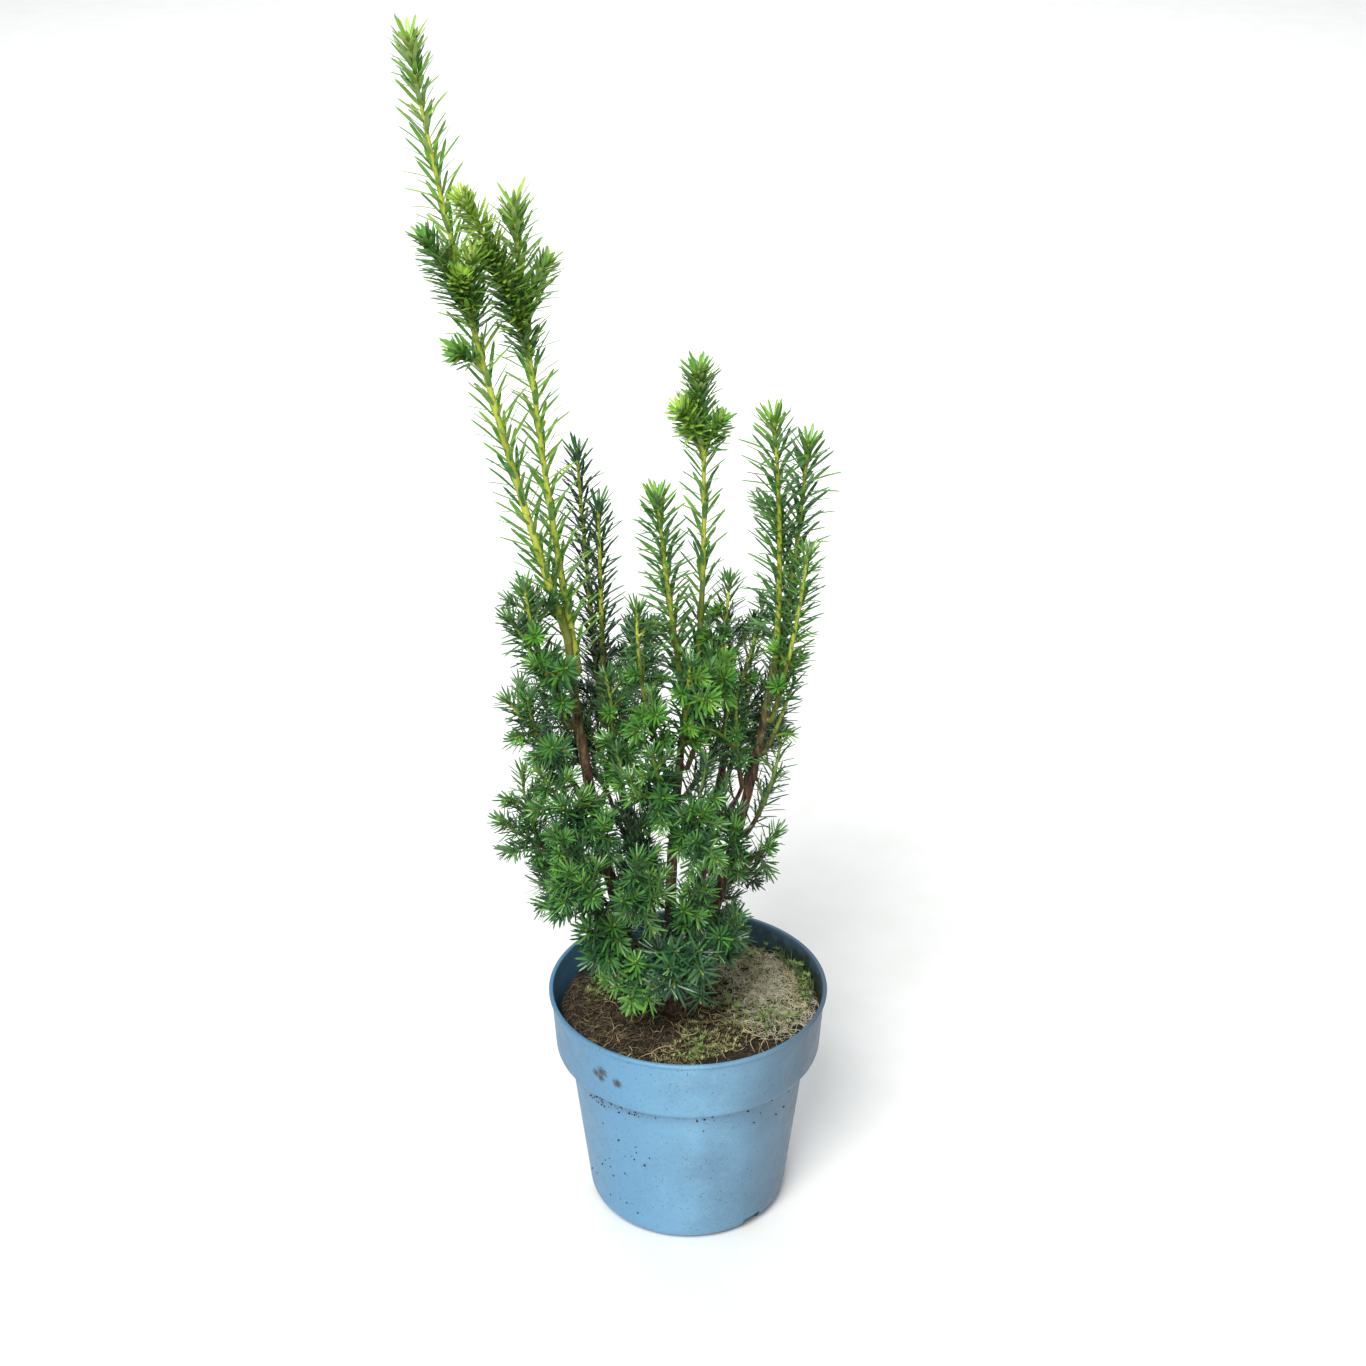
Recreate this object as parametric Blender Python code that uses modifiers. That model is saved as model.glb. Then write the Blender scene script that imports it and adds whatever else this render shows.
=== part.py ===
"""Potted hicksii yew: a nursery pot, its filling, a forked trunk, stems, boughs and foliage masses.

Metres, +Z up. The origin is the middle of the flat underside of the pot, and -Y is the plant's front.
"""
import math
import random
from typing import NamedTuple

import bmesh
import bpy
import numpy as np
from mathutils import Quaternion, Vector

PLANT_NAME = "potted_hicksii_yew"
SEED = 27

# Clearance between pieces that touch on the real plant
GAP = 0.0003

# Pot: turned from one wall section, open at the top, with notches in its lower edge
POT_HEIGHT = 0.168
RIM_RADIUS = 0.095
RIM_ROLL = 0.0014
RIM_BAND = 0.0031
COLLAR_TOP_RADIUS = 0.0932
COLLAR_FOOT_RADIUS = 0.0902
COLLAR_FOOT_Z = 0.1235
COLLAR_CORNER = 0.0030
NECK_RADIUS = 0.0805
NECK_Z = 0.1175
BASE_RADIUS = 0.0680
BASE_CORNER = 0.0065
WALL = 0.0015
FLOOR = 0.0022
POT_STEPS = 32
NOTCH_COUNT = 3
NOTCH_FIRST_TURN = -49.0
NOTCH_WIDTH = 0.015
NOTCH_HEIGHT = 0.0045
NOTCH_DEPTH = 0.0143
DRAIN_COUNT = 4
DRAIN_RADIUS = 0.0045
DRAIN_RING = 0.038

# Filling: peat that stands a little below the rim; each ring is a radius and its drop below the crown
SOIL_EDGE_Z = 0.150
SOIL_CROWN_Z = 0.156
SOIL_RINGS = ((0.045, 0.001), (0.068, 0.003))
SOIL_ROUGHNESS = 0.0014
SOIL_CLEAR = 0.0005
TRUNK_SEAT_RADIUS = 0.022

# Trunk: a short flared stock that forks just above the soil
TRUNK_PLACE = Vector((-0.008, -0.003, 0.0))
TRUNK_HEIGHT = 0.026
FLARE_RADIUS = 0.0175
TRUNK_RADIUS = 0.0100
TRUNK_TOP_RADIUS = 0.0080
TRUNK_CORNERS = 10
ARM_FOOT_HEIGHT = 0.014
ARM_FLARE = 1.25
ARM_BOW = 0.25
LIMB_CORNERS = 7
TWIG_CORNERS = 3

# Needles: each is a face of its twig drawn out to a point. They stand off the twig by LEAN_FOOT degrees
# near its foot and close in to LEAN_TIP degrees at its tip; each try is a change of lean and a size.
# The fast leaders bear the long needles, and the shaded sprays bear short ones
LEADER_NEEDLE_LENGTH = 0.023
SPRAY_NEEDLE_LENGTH = 0.0175
NEEDLE_STEP = 0.0078
NEEDLE_HALF_THICK = 0.0013
NEEDLE_TURN = 0.75
NEEDLE_TAPER = 0.18
NEEDLE_SIZES = (0.85, 1.08)
LEAN_FOOT = 56.0
LEAN_TIP = 26.0
LEAN_SPREAD = 4.0
NEEDLE_CLEAR = 0.0004
ROOT_SHARE = 0.08
NEEDLE_TRIES = ((0.0, 1.0), (-14.0, 0.95), (12.0, 0.85), (0.0, 0.65))
SHOOT_CLEAR = 0.009
POT_CLEAR = 0.003

# Side twigs of the seeded rule
TWIG_RADIUS = 0.0013
TWIG_TIP_RADIUS = 0.0007
TWIG_LENGTH = 0.050
TWIG_SIZES = (0.8, 1.15)
TWIG_SHORTENING = 0.37
TWIG_LEAN = 42.0
GOLDEN_TURN = 137.5
TWIG_TRIES = 6
TWIG_FIRST_SHARE = 0.16
TWIG_SHARE_SPAN = 0.5
TWIG_BOW = 0.004
OUTER_SHARE = 0.25
AIMED_BOW = 0.12
BARE_FOOT = 0.007
KNEE = 0.0025

# Room in the list of taken spaces
TAKEN_ROOM = 20000


class Limb(NamedTuple):
    """A tapering limb: where it starts, where it ends and how far its middle stands off a straight line."""

    name: str
    carrier: str
    share: float
    foot: tuple
    tip: tuple
    bow: tuple
    foot_radius: float
    tip_radius: float


class Mass(NamedTuple):
    """A foliage mass: the limb that carries it, its main shoot, and its side shoots."""

    name: str
    limb: str
    share: float
    out: tuple
    tip: tuple
    bow: tuple
    radius: float
    aimed: tuple
    by_rule: int


# Stems rise from the trunk's arms, so they have a foot of their own and no carrier
STEMS = (
    Limb("stem_left", "", 0, (-0.040, -0.006, 0.205), (-0.0765, 0.000, 0.430), (-0.005, 0, 0),
         0.0042, 0.0024),
    Limb("stem_middle", "", 0, (-0.0125, -0.010, 0.212), (-0.002, -0.005, 0.382), (-0.002, 0, 0),
         0.0038, 0.0021),
    Limb("stem_right", "", 0, (0.012, -0.001, 0.210), (0.0556, 0.003, 0.415), (0.004, 0, 0),
         0.0038, 0.0021),
    Limb("stem_back_left", "", 0, (-0.024, 0.016, 0.210), (-0.055, 0.030, 0.376), (-0.003, 0.006, 0),
         0.0034, 0.0019),
    Limb("stem_back_right", "", 0, (0.004, 0.019, 0.208), (0.030, 0.045, 0.352), (0, 0.006, 0),
         0.0034, 0.0019),
)

# Boughs leave a stem's side, at a share of the stem's length
BOUGHS = (
    Limb("bough_left_low", "stem_left", 0.26, (-1, -0.3, 0), (-0.084, -0.022, 0.285), (0, 0, -0.003),
         0.0022, 0.0015),
    Limb("bough_front_left", "stem_left", 0.15, (-0.3, -1, 0), (-0.057, -0.042, 0.266), (0, 0, -0.003),
         0.0022, 0.0015),
    Limb("bough_front", "stem_middle", 0.17, (-0.3, -1, 0), (-0.024, -0.044, 0.268), (0, 0, -0.003),
         0.0022, 0.0015),
    Limb("bough_right_low", "stem_right", 0.21, (1, -0.1, 0), (0.0413, 0.000, 0.266), (0, 0, -0.002),
         0.0020, 0.0014),
    Limb("bough_back_left", "stem_back_left", 0.30, (-0.4, 1, 0), (-0.055, 0.055, 0.288), (0, 0, -0.003),
         0.0020, 0.0014),
    Limb("bough_back_right", "stem_back_right", 0.35, (0.5, 1, 0), (0.038, 0.062, 0.290), (0, 0, -0.003),
         0.0020, 0.0014),
)

# Foliage of the upper crown: long leaders and the sprays below them
UPPER_MASSES = (
    Mass("leader_tall", "stem_left", 1.0, (), (-0.159, -0.005, 0.815), (-0.007, 0, 0),
         0.0023, ((0.475, (-0.1385, -0.013, 0.630)), (0.55, (-0.154, -0.012, 0.700)),
                  (0.52, (-0.1265, -0.014, 0.690))), 0),
    Mass("leader_inner", "stem_left", 0.90, (1, 0.7, 0), (-0.103, 0.010, 0.714), (-0.004, 0.002, 0),
         0.0021, ((0.72, (-0.1315, -0.012, 0.724)), (0.75, (-0.085, 0.014, 0.677)),
                  (0.66, (-0.118, -0.001, 0.688))), 0),
    Mass("spray_left_outer", "stem_left", 0.74, (-1, -0.6, 0), (-0.102, -0.020, 0.480), (-0.004, -0.004, 0),
         0.0016, ((0.35, (-0.112, -0.030, 0.462)),), 2),
    Mass("leader_back_left", "stem_back_left", 0.86, (-1, 0.5, 0), (-0.070, 0.035, 0.546), (-0.001, 0.004, 0),
         0.0016, (), 0),
    Mass("leader_back_middle", "stem_back_left", 1.0, (), (-0.057, 0.030, 0.513), (0, 0, 0),
         0.0017, (), 0),
    Mass("leader_middle_left", "stem_middle", 1.0, (), (-0.019, -0.022, 0.540), (-0.001, 0, 0),
         0.0019, (), 0),
    Mass("leader_middle", "stem_middle", 0.90, (1, 0.5, 0), (0.006, 0.002, 0.612), (0.006, 0.003, 0),
         0.0019, ((0.76, (0.0195, -0.006, 0.584)), (0.79, (-0.006, -0.010, 0.592)),
                  (0.74, (0.009, 0.021, 0.574))), 0),
    Mass("spray_middle_right", "stem_middle", 0.76, (1, 0.1, 0), (0.026, 0.008, 0.471), (0.005, 0, 0),
         0.0015, (), 1),
    Mass("spray_middle_left", "stem_middle", 0.70, (-1, -0.4, 0), (-0.032, -0.020, 0.464), (-0.006, 0, 0),
         0.0016, (), 2),
    Mass("spray_middle_front", "stem_middle", 0.84, (0.1, -1, 0), (0.001, -0.032, 0.432), (0, -0.004, 0),
         0.0014, (), 1),
    Mass("spray_right_inner", "stem_middle", 0.62, (1, 0.5, 0), (0.044, 0.016, 0.431), (0.003, 0, -0.008),
         0.0015, (), 1),
    Mass("spray_right_small", "stem_right", 0.56, (-1, -0.5, 0), (0.031, -0.012, 0.398), (-0.002, 0, 0),
         0.0014, (), 1),
    Mass("leader_right", "stem_right", 1.0, (), (0.052, 0.003, 0.581), (0.003, 0, 0),
         0.0018, (), 0),
    Mass("leader_right_outer", "stem_right", 0.90, (1, 0.5, 0), (0.074, 0.010, 0.562), (0.001, 0.002, 0),
         0.0017, (), 1),
    Mass("spray_right_outer", "stem_right", 0.80, (1, -0.5, 0), (0.074, -0.015, 0.500), (0.002, -0.003, 0),
         0.0015, (), 0),
    Mass("spur_right", "stem_right", 0.68, (1, 0.2, 0), (0.068, 0.001, 0.402), (0, 0, -0.003),
         0.0013, (), 0),
)

# Foliage of the lower crown: sprays that stand out to the sides and to the front
LOWER_MASSES = (
    Mass("spray_left_mid", "stem_left", 0.52, (-1, -0.4, 0), (-0.115, -0.025, 0.402), (-0.002, 0, 0.004),
         0.0015, ((0.5, (-0.101, -0.033, 0.406)),), 2),
    Mass("spray_left_inner", "stem_left", 0.48, (1, -0.2, 0), (-0.053, -0.002, 0.408), (0.006, 0, 0),
         0.0014, (), 2),
    Mass("spray_left_low", "bough_left_low", 1.0, (), (-0.121, -0.040, 0.322), (0, 0, -0.002),
         0.0015, ((0.15, (-0.106, -0.033, 0.356)), (0.3, (-0.095, -0.042, 0.335))), 0),
    Mass("spray_left_skirt", "stem_left", 0.10, (-1, 0.1, 0), (-0.096, -0.010, 0.270), (0, 0, -0.003),
         0.0014, ((0.4, (-0.084, -0.020, 0.250)), (0.45, (-0.086, 0.004, 0.292)),
                  (0.3, (-0.099, 0.006, 0.244))), 0),
    Mass("spray_front_left", "bough_front_left", 1.0, (), (-0.076, -0.082, 0.310), (0, 0, -0.002),
         0.0015, ((0.2, (-0.085, -0.064, 0.328)), (0.3, (-0.060, -0.086, 0.292)),
                  (0.25, (-0.086, -0.060, 0.288))), 0),
    Mass("spray_left_front", "stem_left", 0.38, (-0.3, -1, 0), (-0.080, -0.060, 0.345), (0, -0.004, 0),
         0.0015, ((0.45, (-0.096, -0.045, 0.362)), (0.4, (-0.064, -0.050, 0.346))), 1),
    Mass("spray_front", "bough_front", 1.0, (), (-0.042, -0.080, 0.286), (0, 0, -0.002),
         0.0015, ((0.2, (-0.032, -0.076, 0.317)), (0.3, (-0.014, -0.080, 0.292)),
                  (0.35, (-0.022, -0.078, 0.262))), 0),
    Mass("spray_front_high", "stem_middle", 0.55, (-0.5, -1, 0), (-0.023, -0.052, 0.378), (0, -0.006, 0),
         0.0015, ((0.35, (-0.036, -0.060, 0.350)), (0.3, (-0.016, -0.060, 0.350))), 1),
    Mass("spray_front_right", "stem_middle", 0.42, (0.5, -1, 0), (0.010, -0.060, 0.341), (0, -0.004, 0),
         0.0015, ((0.45, (0.012, -0.040, 0.368)), (0.3, (-0.004, -0.052, 0.318))), 1),
    Mass("spray_front_low", "stem_middle", 0.06, (0.4, -1, 0), (0.012, -0.062, 0.286), (0, 0, -0.002),
         0.0014, ((0.45, (-0.004, -0.064, 0.268)),), 0),
    Mass("spray_right_low", "bough_right_low", 1.0, (), (0.059, 0.000, 0.290), (0, 0, -0.002),
         0.0013, ((0.12, (0.053, -0.014, 0.266)),), 0),
    Mass("spray_right_mid", "stem_right", 0.38, (1, 0.1, 0), (0.060, 0.000, 0.357), (0.003, 0, -0.004),
         0.0014, ((0.4, (0.059, 0.018, 0.322)),), 0),
    Mass("spray_right_front", "stem_right", 0.30, (0.2, -1, 0), (0.030, -0.042, 0.318), (0, -0.004, 0),
         0.0014, (), 1),
    Mass("skirt_right", "arm_right", 0.75, (0.5, -1, 0), (0.032, -0.042, 0.251), (0, 0, -0.003),
         0.0014, ((0.4, (0.020, -0.058, 0.244)), (0.5, (0.034, -0.026, 0.232))), 0),
    Mass("skirt_front", "arm_middle", 0.55, (0.1, -1, 0), (-0.009, -0.078, 0.220), (0, 0, 0.010),
         0.0015, ((0.40, (0.008, -0.070, 0.242)), (0.30, (-0.020, -0.062, 0.236)),
                  (0.50, (0.014, -0.062, 0.212))), 0),
    Mass("skirt_left", "arm_left", 0.50, (-0.1, -1, 0), (-0.038, -0.068, 0.198), (0, 0, 0.010),
         0.0015, ((0.45, (-0.056, -0.054, 0.208)), (0.35, (-0.034, -0.062, 0.228)),
                  (0.55, (-0.024, -0.068, 0.200))), 0),
    Mass("skirt_far_left", "arm_left", 0.88, (-0.5, -1, 0), (-0.066, -0.050, 0.244), (0, 0, 0),
         0.0014, ((0.4, (-0.048, -0.056, 0.252)),), 0),
)

# Foliage of the back, which fills the crown out all round
BACK_MASSES = (
    Mass("spray_back_left_low", "bough_back_left", 1.0, (), (-0.080, 0.076, 0.318), (0, 0, -0.002),
         0.0015, (), 3),
    Mass("spray_back_left", "stem_back_left", 0.58, (-1, 0.5, 0), (-0.082, 0.056, 0.382), (0, 0, 0),
         0.0015, (), 3),
    Mass("spray_back_middle", "stem_back_left", 0.72, (0.5, 1, 0), (-0.036, 0.070, 0.404), (0, 0.004, 0),
         0.0015, (), 3),
    Mass("spray_back_right_low", "bough_back_right", 1.0, (), (0.045, 0.078, 0.318), (0, 0, -0.002),
         0.0015, (), 2),
    Mass("spray_back_right", "stem_back_right", 0.70, (1, 0.2, 0), (0.044, 0.052, 0.378), (0, 0, 0),
         0.0015, (), 2),
    Mass("leader_back_right", "stem_back_right", 1.0, (), (0.026, 0.060, 0.420), (0, 0, 0),
         0.0015, (), 2),
    Mass("skirt_back_left", "arm_back_left", 0.60, (-0.6, 1, 0), (-0.050, 0.062, 0.240), (0, 0, 0),
         0.0014, (), 2),
    Mass("skirt_back_right", "arm_back_right", 0.60, (0.8, 1, 0), (0.034, 0.058, 0.240), (0, 0, 0),
         0.0014, (), 2),
    Mass("skirt_inner_left", "stem_back_left", 0.10, (0.6, -1, 0), (-0.030, -0.004, 0.282), (0, 0, 0),
         0.0014, ((0.5, (-0.046, -0.001, 0.308)),), 2),
)

MASSES = UPPER_MASSES + LOWER_MASSES + BACK_MASSES


def clear_scene():
    """Remove whatever the file holds, so that the plant stands alone."""
    for item in list(bpy.data.objects):
        bpy.data.objects.remove(item, do_unlink=True)


def new_collection(name):
    """A collection linked to the scene."""
    collection = bpy.data.collections.new(name)
    bpy.context.scene.collection.children.link(collection)
    return collection


def material(name, colour, roughness):
    """A plain Principled material; colour is linear red, green and blue."""
    made = bpy.data.materials.new(name)
    made.use_nodes = True
    shader = made.node_tree.nodes["Principled BSDF"]
    shader.inputs["Base Color"].default_value = (*colour, 1.0)
    shader.inputs["Roughness"].default_value = roughness
    shader.inputs["Metallic"].default_value = 0.0
    return made


def add_object(name, mesh, collection, finish=None):
    """An object for a mesh, in a collection, with its material."""
    made = bpy.data.objects.new(name, mesh)
    collection.objects.link(made)
    if finish is not None:
        mesh.materials.clear()
        mesh.materials.append(finish)
    return made


def evaluated_mesh(item):
    """The mesh of an object with its modifiers or its bevel worked out."""
    graph = bpy.context.evaluated_depsgraph_get()
    return bpy.data.meshes.new_from_object(item.evaluated_get(graph))


def turned(name, section, steps, collection, finish):
    """A round piece: a section of (radius, height) points turned about the Z axis."""
    mesh = bpy.data.meshes.new(name)
    shape = bmesh.new()
    corners = [shape.verts.new((radius, 0.0, height)) for radius, height in section]
    for lower, upper in zip(corners, corners[1:]):
        shape.edges.new((lower, upper))
    shape.to_mesh(mesh)
    shape.free()
    piece = add_object(name, mesh, collection, finish)
    screw = piece.modifiers.new("turn", "SCREW")
    screw.axis = "Z"
    screw.steps = steps
    screw.render_steps = steps
    screw.use_merge_vertices = True
    screw.merge_threshold = 0.00001
    screw.use_normal_calculate = True
    return piece


def replace_with_result(piece):
    """Keep an object's worked-out shape as its mesh and drop its modifiers."""
    mesh = evaluated_mesh(piece)
    piece.modifiers.clear()
    piece.data = mesh
    return piece


def outer_wall():
    """The pot's outer section, from the rim's top down to the underside."""
    return (
        (RIM_RADIUS - RIM_ROLL, POT_HEIGHT),
        (RIM_RADIUS - 0.3 * RIM_ROLL, POT_HEIGHT - 0.3 * RIM_ROLL),
        (RIM_RADIUS, POT_HEIGHT - RIM_ROLL),
        (COLLAR_TOP_RADIUS, POT_HEIGHT - RIM_BAND),
        (COLLAR_FOOT_RADIUS, COLLAR_FOOT_Z),
        (COLLAR_FOOT_RADIUS - 0.7 * COLLAR_CORNER, COLLAR_FOOT_Z - COLLAR_CORNER),
        (NECK_RADIUS, NECK_Z),
        (BASE_RADIUS, BASE_CORNER),
        (BASE_RADIUS - 0.35 * BASE_CORNER, 0.28 * BASE_CORNER),
        (BASE_RADIUS - BASE_CORNER, 0.0),
    )


def inner_wall():
    """The pot's inner section, from the floor's edge up to the rim."""
    return (
        (BASE_RADIUS - BASE_CORNER, FLOOR),
        (BASE_RADIUS - WALL, BASE_CORNER + WALL),
        (NECK_RADIUS - WALL, NECK_Z + WALL),
        (COLLAR_FOOT_RADIUS - WALL, COLLAR_FOOT_Z + WALL),
        (COLLAR_TOP_RADIUS - WALL, POT_HEIGHT - RIM_BAND),
        (RIM_RADIUS - 2.0 * RIM_ROLL, POT_HEIGHT - 0.3 * RIM_ROLL),
    )


def cutter_box(name, centre, size, turn, collection):
    """A hidden box that cuts a notch."""
    mesh = bpy.data.meshes.new(name)
    shape = bmesh.new()
    bmesh.ops.create_cube(shape, size=1.0)
    bmesh.ops.scale(shape, vec=size, verts=shape.verts)
    shape.to_mesh(mesh)
    shape.free()
    cutter = add_object(name, mesh, collection)
    cutter.location = centre
    cutter.rotation_euler = (0.0, 0.0, turn)
    return cutter


def cutter_rod(name, centre, radius, length, collection):
    """A hidden upright rod that cuts a drain hole."""
    mesh = bpy.data.meshes.new(name)
    shape = bmesh.new()
    bmesh.ops.create_cone(shape, cap_ends=True, segments=10, radius1=radius, radius2=radius, depth=length)
    shape.to_mesh(mesh)
    shape.free()
    cutter = add_object(name, mesh, collection)
    cutter.location = centre
    return cutter


def cut(piece, cutters):
    """Take each cutter out of a piece, keep the result, and remove the cutters."""
    for cutter in cutters:
        cutter.hide_render = True
        cutter.display_type = "WIRE"
        step = piece.modifiers.new(cutter.name, "BOOLEAN")
        step.operation = "DIFFERENCE"
        step.object = cutter
    bpy.context.view_layer.update()
    replace_with_result(piece)
    for cutter in cutters:
        bpy.data.objects.remove(cutter, do_unlink=True)
    return piece


def make_pot(parts, cutters, finish):
    """The nursery pot, with its tapering collar, notched lower edge and drained floor."""
    section = ((0.0, FLOOR),) + inner_wall() + outer_wall() + ((0.0, 0.0),)
    pot = turned("pot", section, POT_STEPS, parts, finish)
    tools = []
    for index in range(NOTCH_COUNT):
        turn = math.radians(NOTCH_FIRST_TURN + index * 360.0 / NOTCH_COUNT)
        centre = (BASE_RADIUS * math.cos(turn), BASE_RADIUS * math.sin(turn), 0.0)
        size = (NOTCH_DEPTH, NOTCH_WIDTH, 2.0 * NOTCH_HEIGHT)
        tools.append(cutter_box(f"notch_{index}", centre, size, turn, cutters))
    for index in range(DRAIN_COUNT):
        turn = math.radians(index * 360.0 / DRAIN_COUNT)
        centre = (DRAIN_RING * math.cos(turn), DRAIN_RING * math.sin(turn), 0.0)
        tools.append(cutter_rod(f"drain_{index}", centre, DRAIN_RADIUS, 4.0 * FLOOR, cutters))
    cut(pot, tools)
    pot.data.shade_smooth()
    pot.data.set_sharp_from_angle(angle=math.radians(35.0))
    return pot


def make_soil(parts, finish):
    """The peat filling, a hair clear of the pot, with an uneven top and a flat seat for the trunk."""
    section = [(0.0, SOIL_CROWN_Z), (TRUNK_SEAT_RADIUS, SOIL_CROWN_Z)]
    section += [(radius, SOIL_CROWN_Z - drop) for radius, drop in SOIL_RINGS]
    wall = inner_wall()[:4]
    collar_radius, collar_z = wall[-1]
    up_collar = (SOIL_EDGE_Z - collar_z) / (POT_HEIGHT - collar_z)
    edge_radius = collar_radius + up_collar * (COLLAR_TOP_RADIUS - COLLAR_FOOT_RADIUS)
    section.append((edge_radius - 2 * SOIL_CLEAR, SOIL_EDGE_Z))
    for radius, height in reversed(wall[1:]):
        section.append((radius - 2 * SOIL_CLEAR, height + 0.5 * SOIL_CLEAR))
    section.append((wall[0][0] - SOIL_CLEAR, FLOOR + SOIL_CLEAR))
    section.append((0.0, FLOOR + SOIL_CLEAR))
    soil = replace_with_result(turned("soil", section, POT_STEPS, parts, finish))
    dice = random.Random(SEED)
    for corner in soil.data.vertices:
        across = math.hypot(corner.co.x, corner.co.y)
        if corner.co.z > SOIL_EDGE_Z - SOIL_CLEAR and across > TRUNK_SEAT_RADIUS + SOIL_CLEAR:
            corner.co.z += dice.uniform(-1.0, 1.0) * SOIL_ROUGHNESS
    return soil


def along(foot, tip, bow, share):
    """A point of the arc from foot to tip whose middle stands off the straight line by bow."""
    return foot.lerp(tip, share) + bow * (4.0 * share * (1.0 - share))


def arc(foot, tip, bow, count):
    """Evenly shared points of the arc, both ends included."""
    return [along(foot, tip, bow, index / count) for index in range(count + 1)]


def round_section(corners):
    """A flat ring of corners one metre in radius, the section of a tube."""
    section = bpy.data.curves.new("section", "CURVE")
    section.dimensions = "2D"
    ring = section.splines.new("POLY")
    ring.points.add(corners - 1)
    ring.use_cyclic_u = True
    for index in range(corners):
        turn = 2.0 * math.pi * index / corners
        ring.points[index].co = (math.cos(turn), math.sin(turn), 0.0, 1.0)
    return section


def tube(name, points, radii, corners, collection, turns=None):
    """A closed tube through points, as a mesh: a bevelled curve with its caps welded."""
    curve = bpy.data.curves.new(name, "CURVE")
    curve.dimensions = "3D"
    section = bpy.data.objects.new("section", round_section(corners))
    collection.objects.link(section)
    curve.bevel_mode = "OBJECT"
    curve.bevel_object = section
    curve.use_fill_caps = True
    spline = curve.splines.new("POLY")
    spline.points.add(len(points) - 1)
    for index, place in enumerate(points):
        spline.points[index].co = (*place, 1.0)
        spline.points[index].radius = radii[index]
        if turns is not None:
            spline.points[index].tilt = turns[index]
    guide = bpy.data.objects.new(name, curve)
    collection.objects.link(guide)
    mesh = evaluated_mesh(guide)
    bpy.data.objects.remove(guide, do_unlink=True)
    bpy.data.curves.remove(curve)
    bpy.data.curves.remove(section.data)
    shape = bmesh.new()
    shape.from_mesh(mesh)
    bmesh.ops.remove_doubles(shape, verts=shape.verts, dist=0.00001)
    bmesh.ops.recalc_face_normals(shape, faces=shape.faces)
    shape.to_mesh(mesh)
    shape.free()
    return add_object(name, mesh, collection)


def union(base, others, finish):
    """Join closed pieces into one by a single union, keep its one main body, and drop the pieces."""
    if others:
        together = new_collection("together")
        for item in others:
            for holder in list(item.users_collection):
                holder.objects.unlink(item)
            together.objects.link(item)
        join = base.modifiers.new("union", "BOOLEAN")
        join.operation = "UNION"
        join.operand_type = "COLLECTION"
        join.collection = together
        bpy.context.view_layer.update()
        replace_with_result(base)
        for item in list(together.objects):
            bpy.data.objects.remove(item, do_unlink=True)
        bpy.data.collections.remove(together)
    keep_main_body(base.data)
    base.data.materials.clear()
    base.data.materials.append(finish)
    return base


def keep_main_body(mesh):
    """Drop loose scraps and sealed hollows: only the largest connected body stays."""
    shape = bmesh.new()
    shape.from_mesh(mesh)
    bmesh.ops.triangulate(shape, faces=shape.faces)
    left = set(shape.verts)
    bodies = []
    while left:
        reached = {left.pop()}
        edge_of_search = list(reached)
        while edge_of_search:
            corner = edge_of_search.pop()
            for link in corner.link_edges:
                other = link.other_vert(corner)
                if other not in reached:
                    reached.add(other)
                    edge_of_search.append(other)
        left -= reached
        bodies.append(reached)
    bodies.sort(key=len, reverse=True)
    scraps = [corner for body in bodies[1:] for corner in body]
    bmesh.ops.delete(shape, geom=scraps, context="VERTS")
    shape.to_mesh(mesh)
    shape.free()


class Taken:
    """The straight pieces of every limb, twig and needle so far, each with a radius at both ends."""

    def __init__(self, room):
        self.ends = np.zeros((room, 2, 3))
        self.radii = np.zeros((room, 2))
        self.owners = np.zeros((room, 2), dtype=int)
        self.count = 0

    def add(self, foot, tip, foot_radius, tip_radius, mass, shoot):
        """Take the space of one piece; mass and shoot say whose it is."""
        row = self.count
        self.ends[row] = (foot, tip)
        self.radii[row] = (foot_radius, tip_radius)
        self.owners[row] = (mass, shoot)
        self.count += 1

    def add_path(self, points, radii, mass, shoot):
        """Take the space of a whole tube."""
        for index in range(len(points) - 1):
            self.add(points[index], points[index + 1], radii[index], radii[index + 1], mass, shoot)

    def is_clear(self, foot, tip, foot_radius, tip_radius, clearance, skip_mass=None, skip_shoot=None):
        """True where a piece keeps the clearance to all others, apart from its own mass or shoot."""
        rows = np.ones(self.count, dtype=bool)
        if skip_mass is not None:
            rows &= self.owners[:self.count, 0] != skip_mass
        if skip_shoot is not None:
            rows &= self.owners[:self.count, 1] != skip_shoot
        if not rows.any():
            return True
        ends = self.ends[:self.count][rows]
        radii = self.radii[:self.count][rows]
        mine, theirs, apart = closest(np.array(foot), np.array(tip), ends[:, 0], ends[:, 1])
        own = foot_radius + (tip_radius - foot_radius) * mine
        other = radii[:, 0] + (radii[:, 1] - radii[:, 0]) * theirs
        return bool((apart > own + other + clearance).all())


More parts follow.
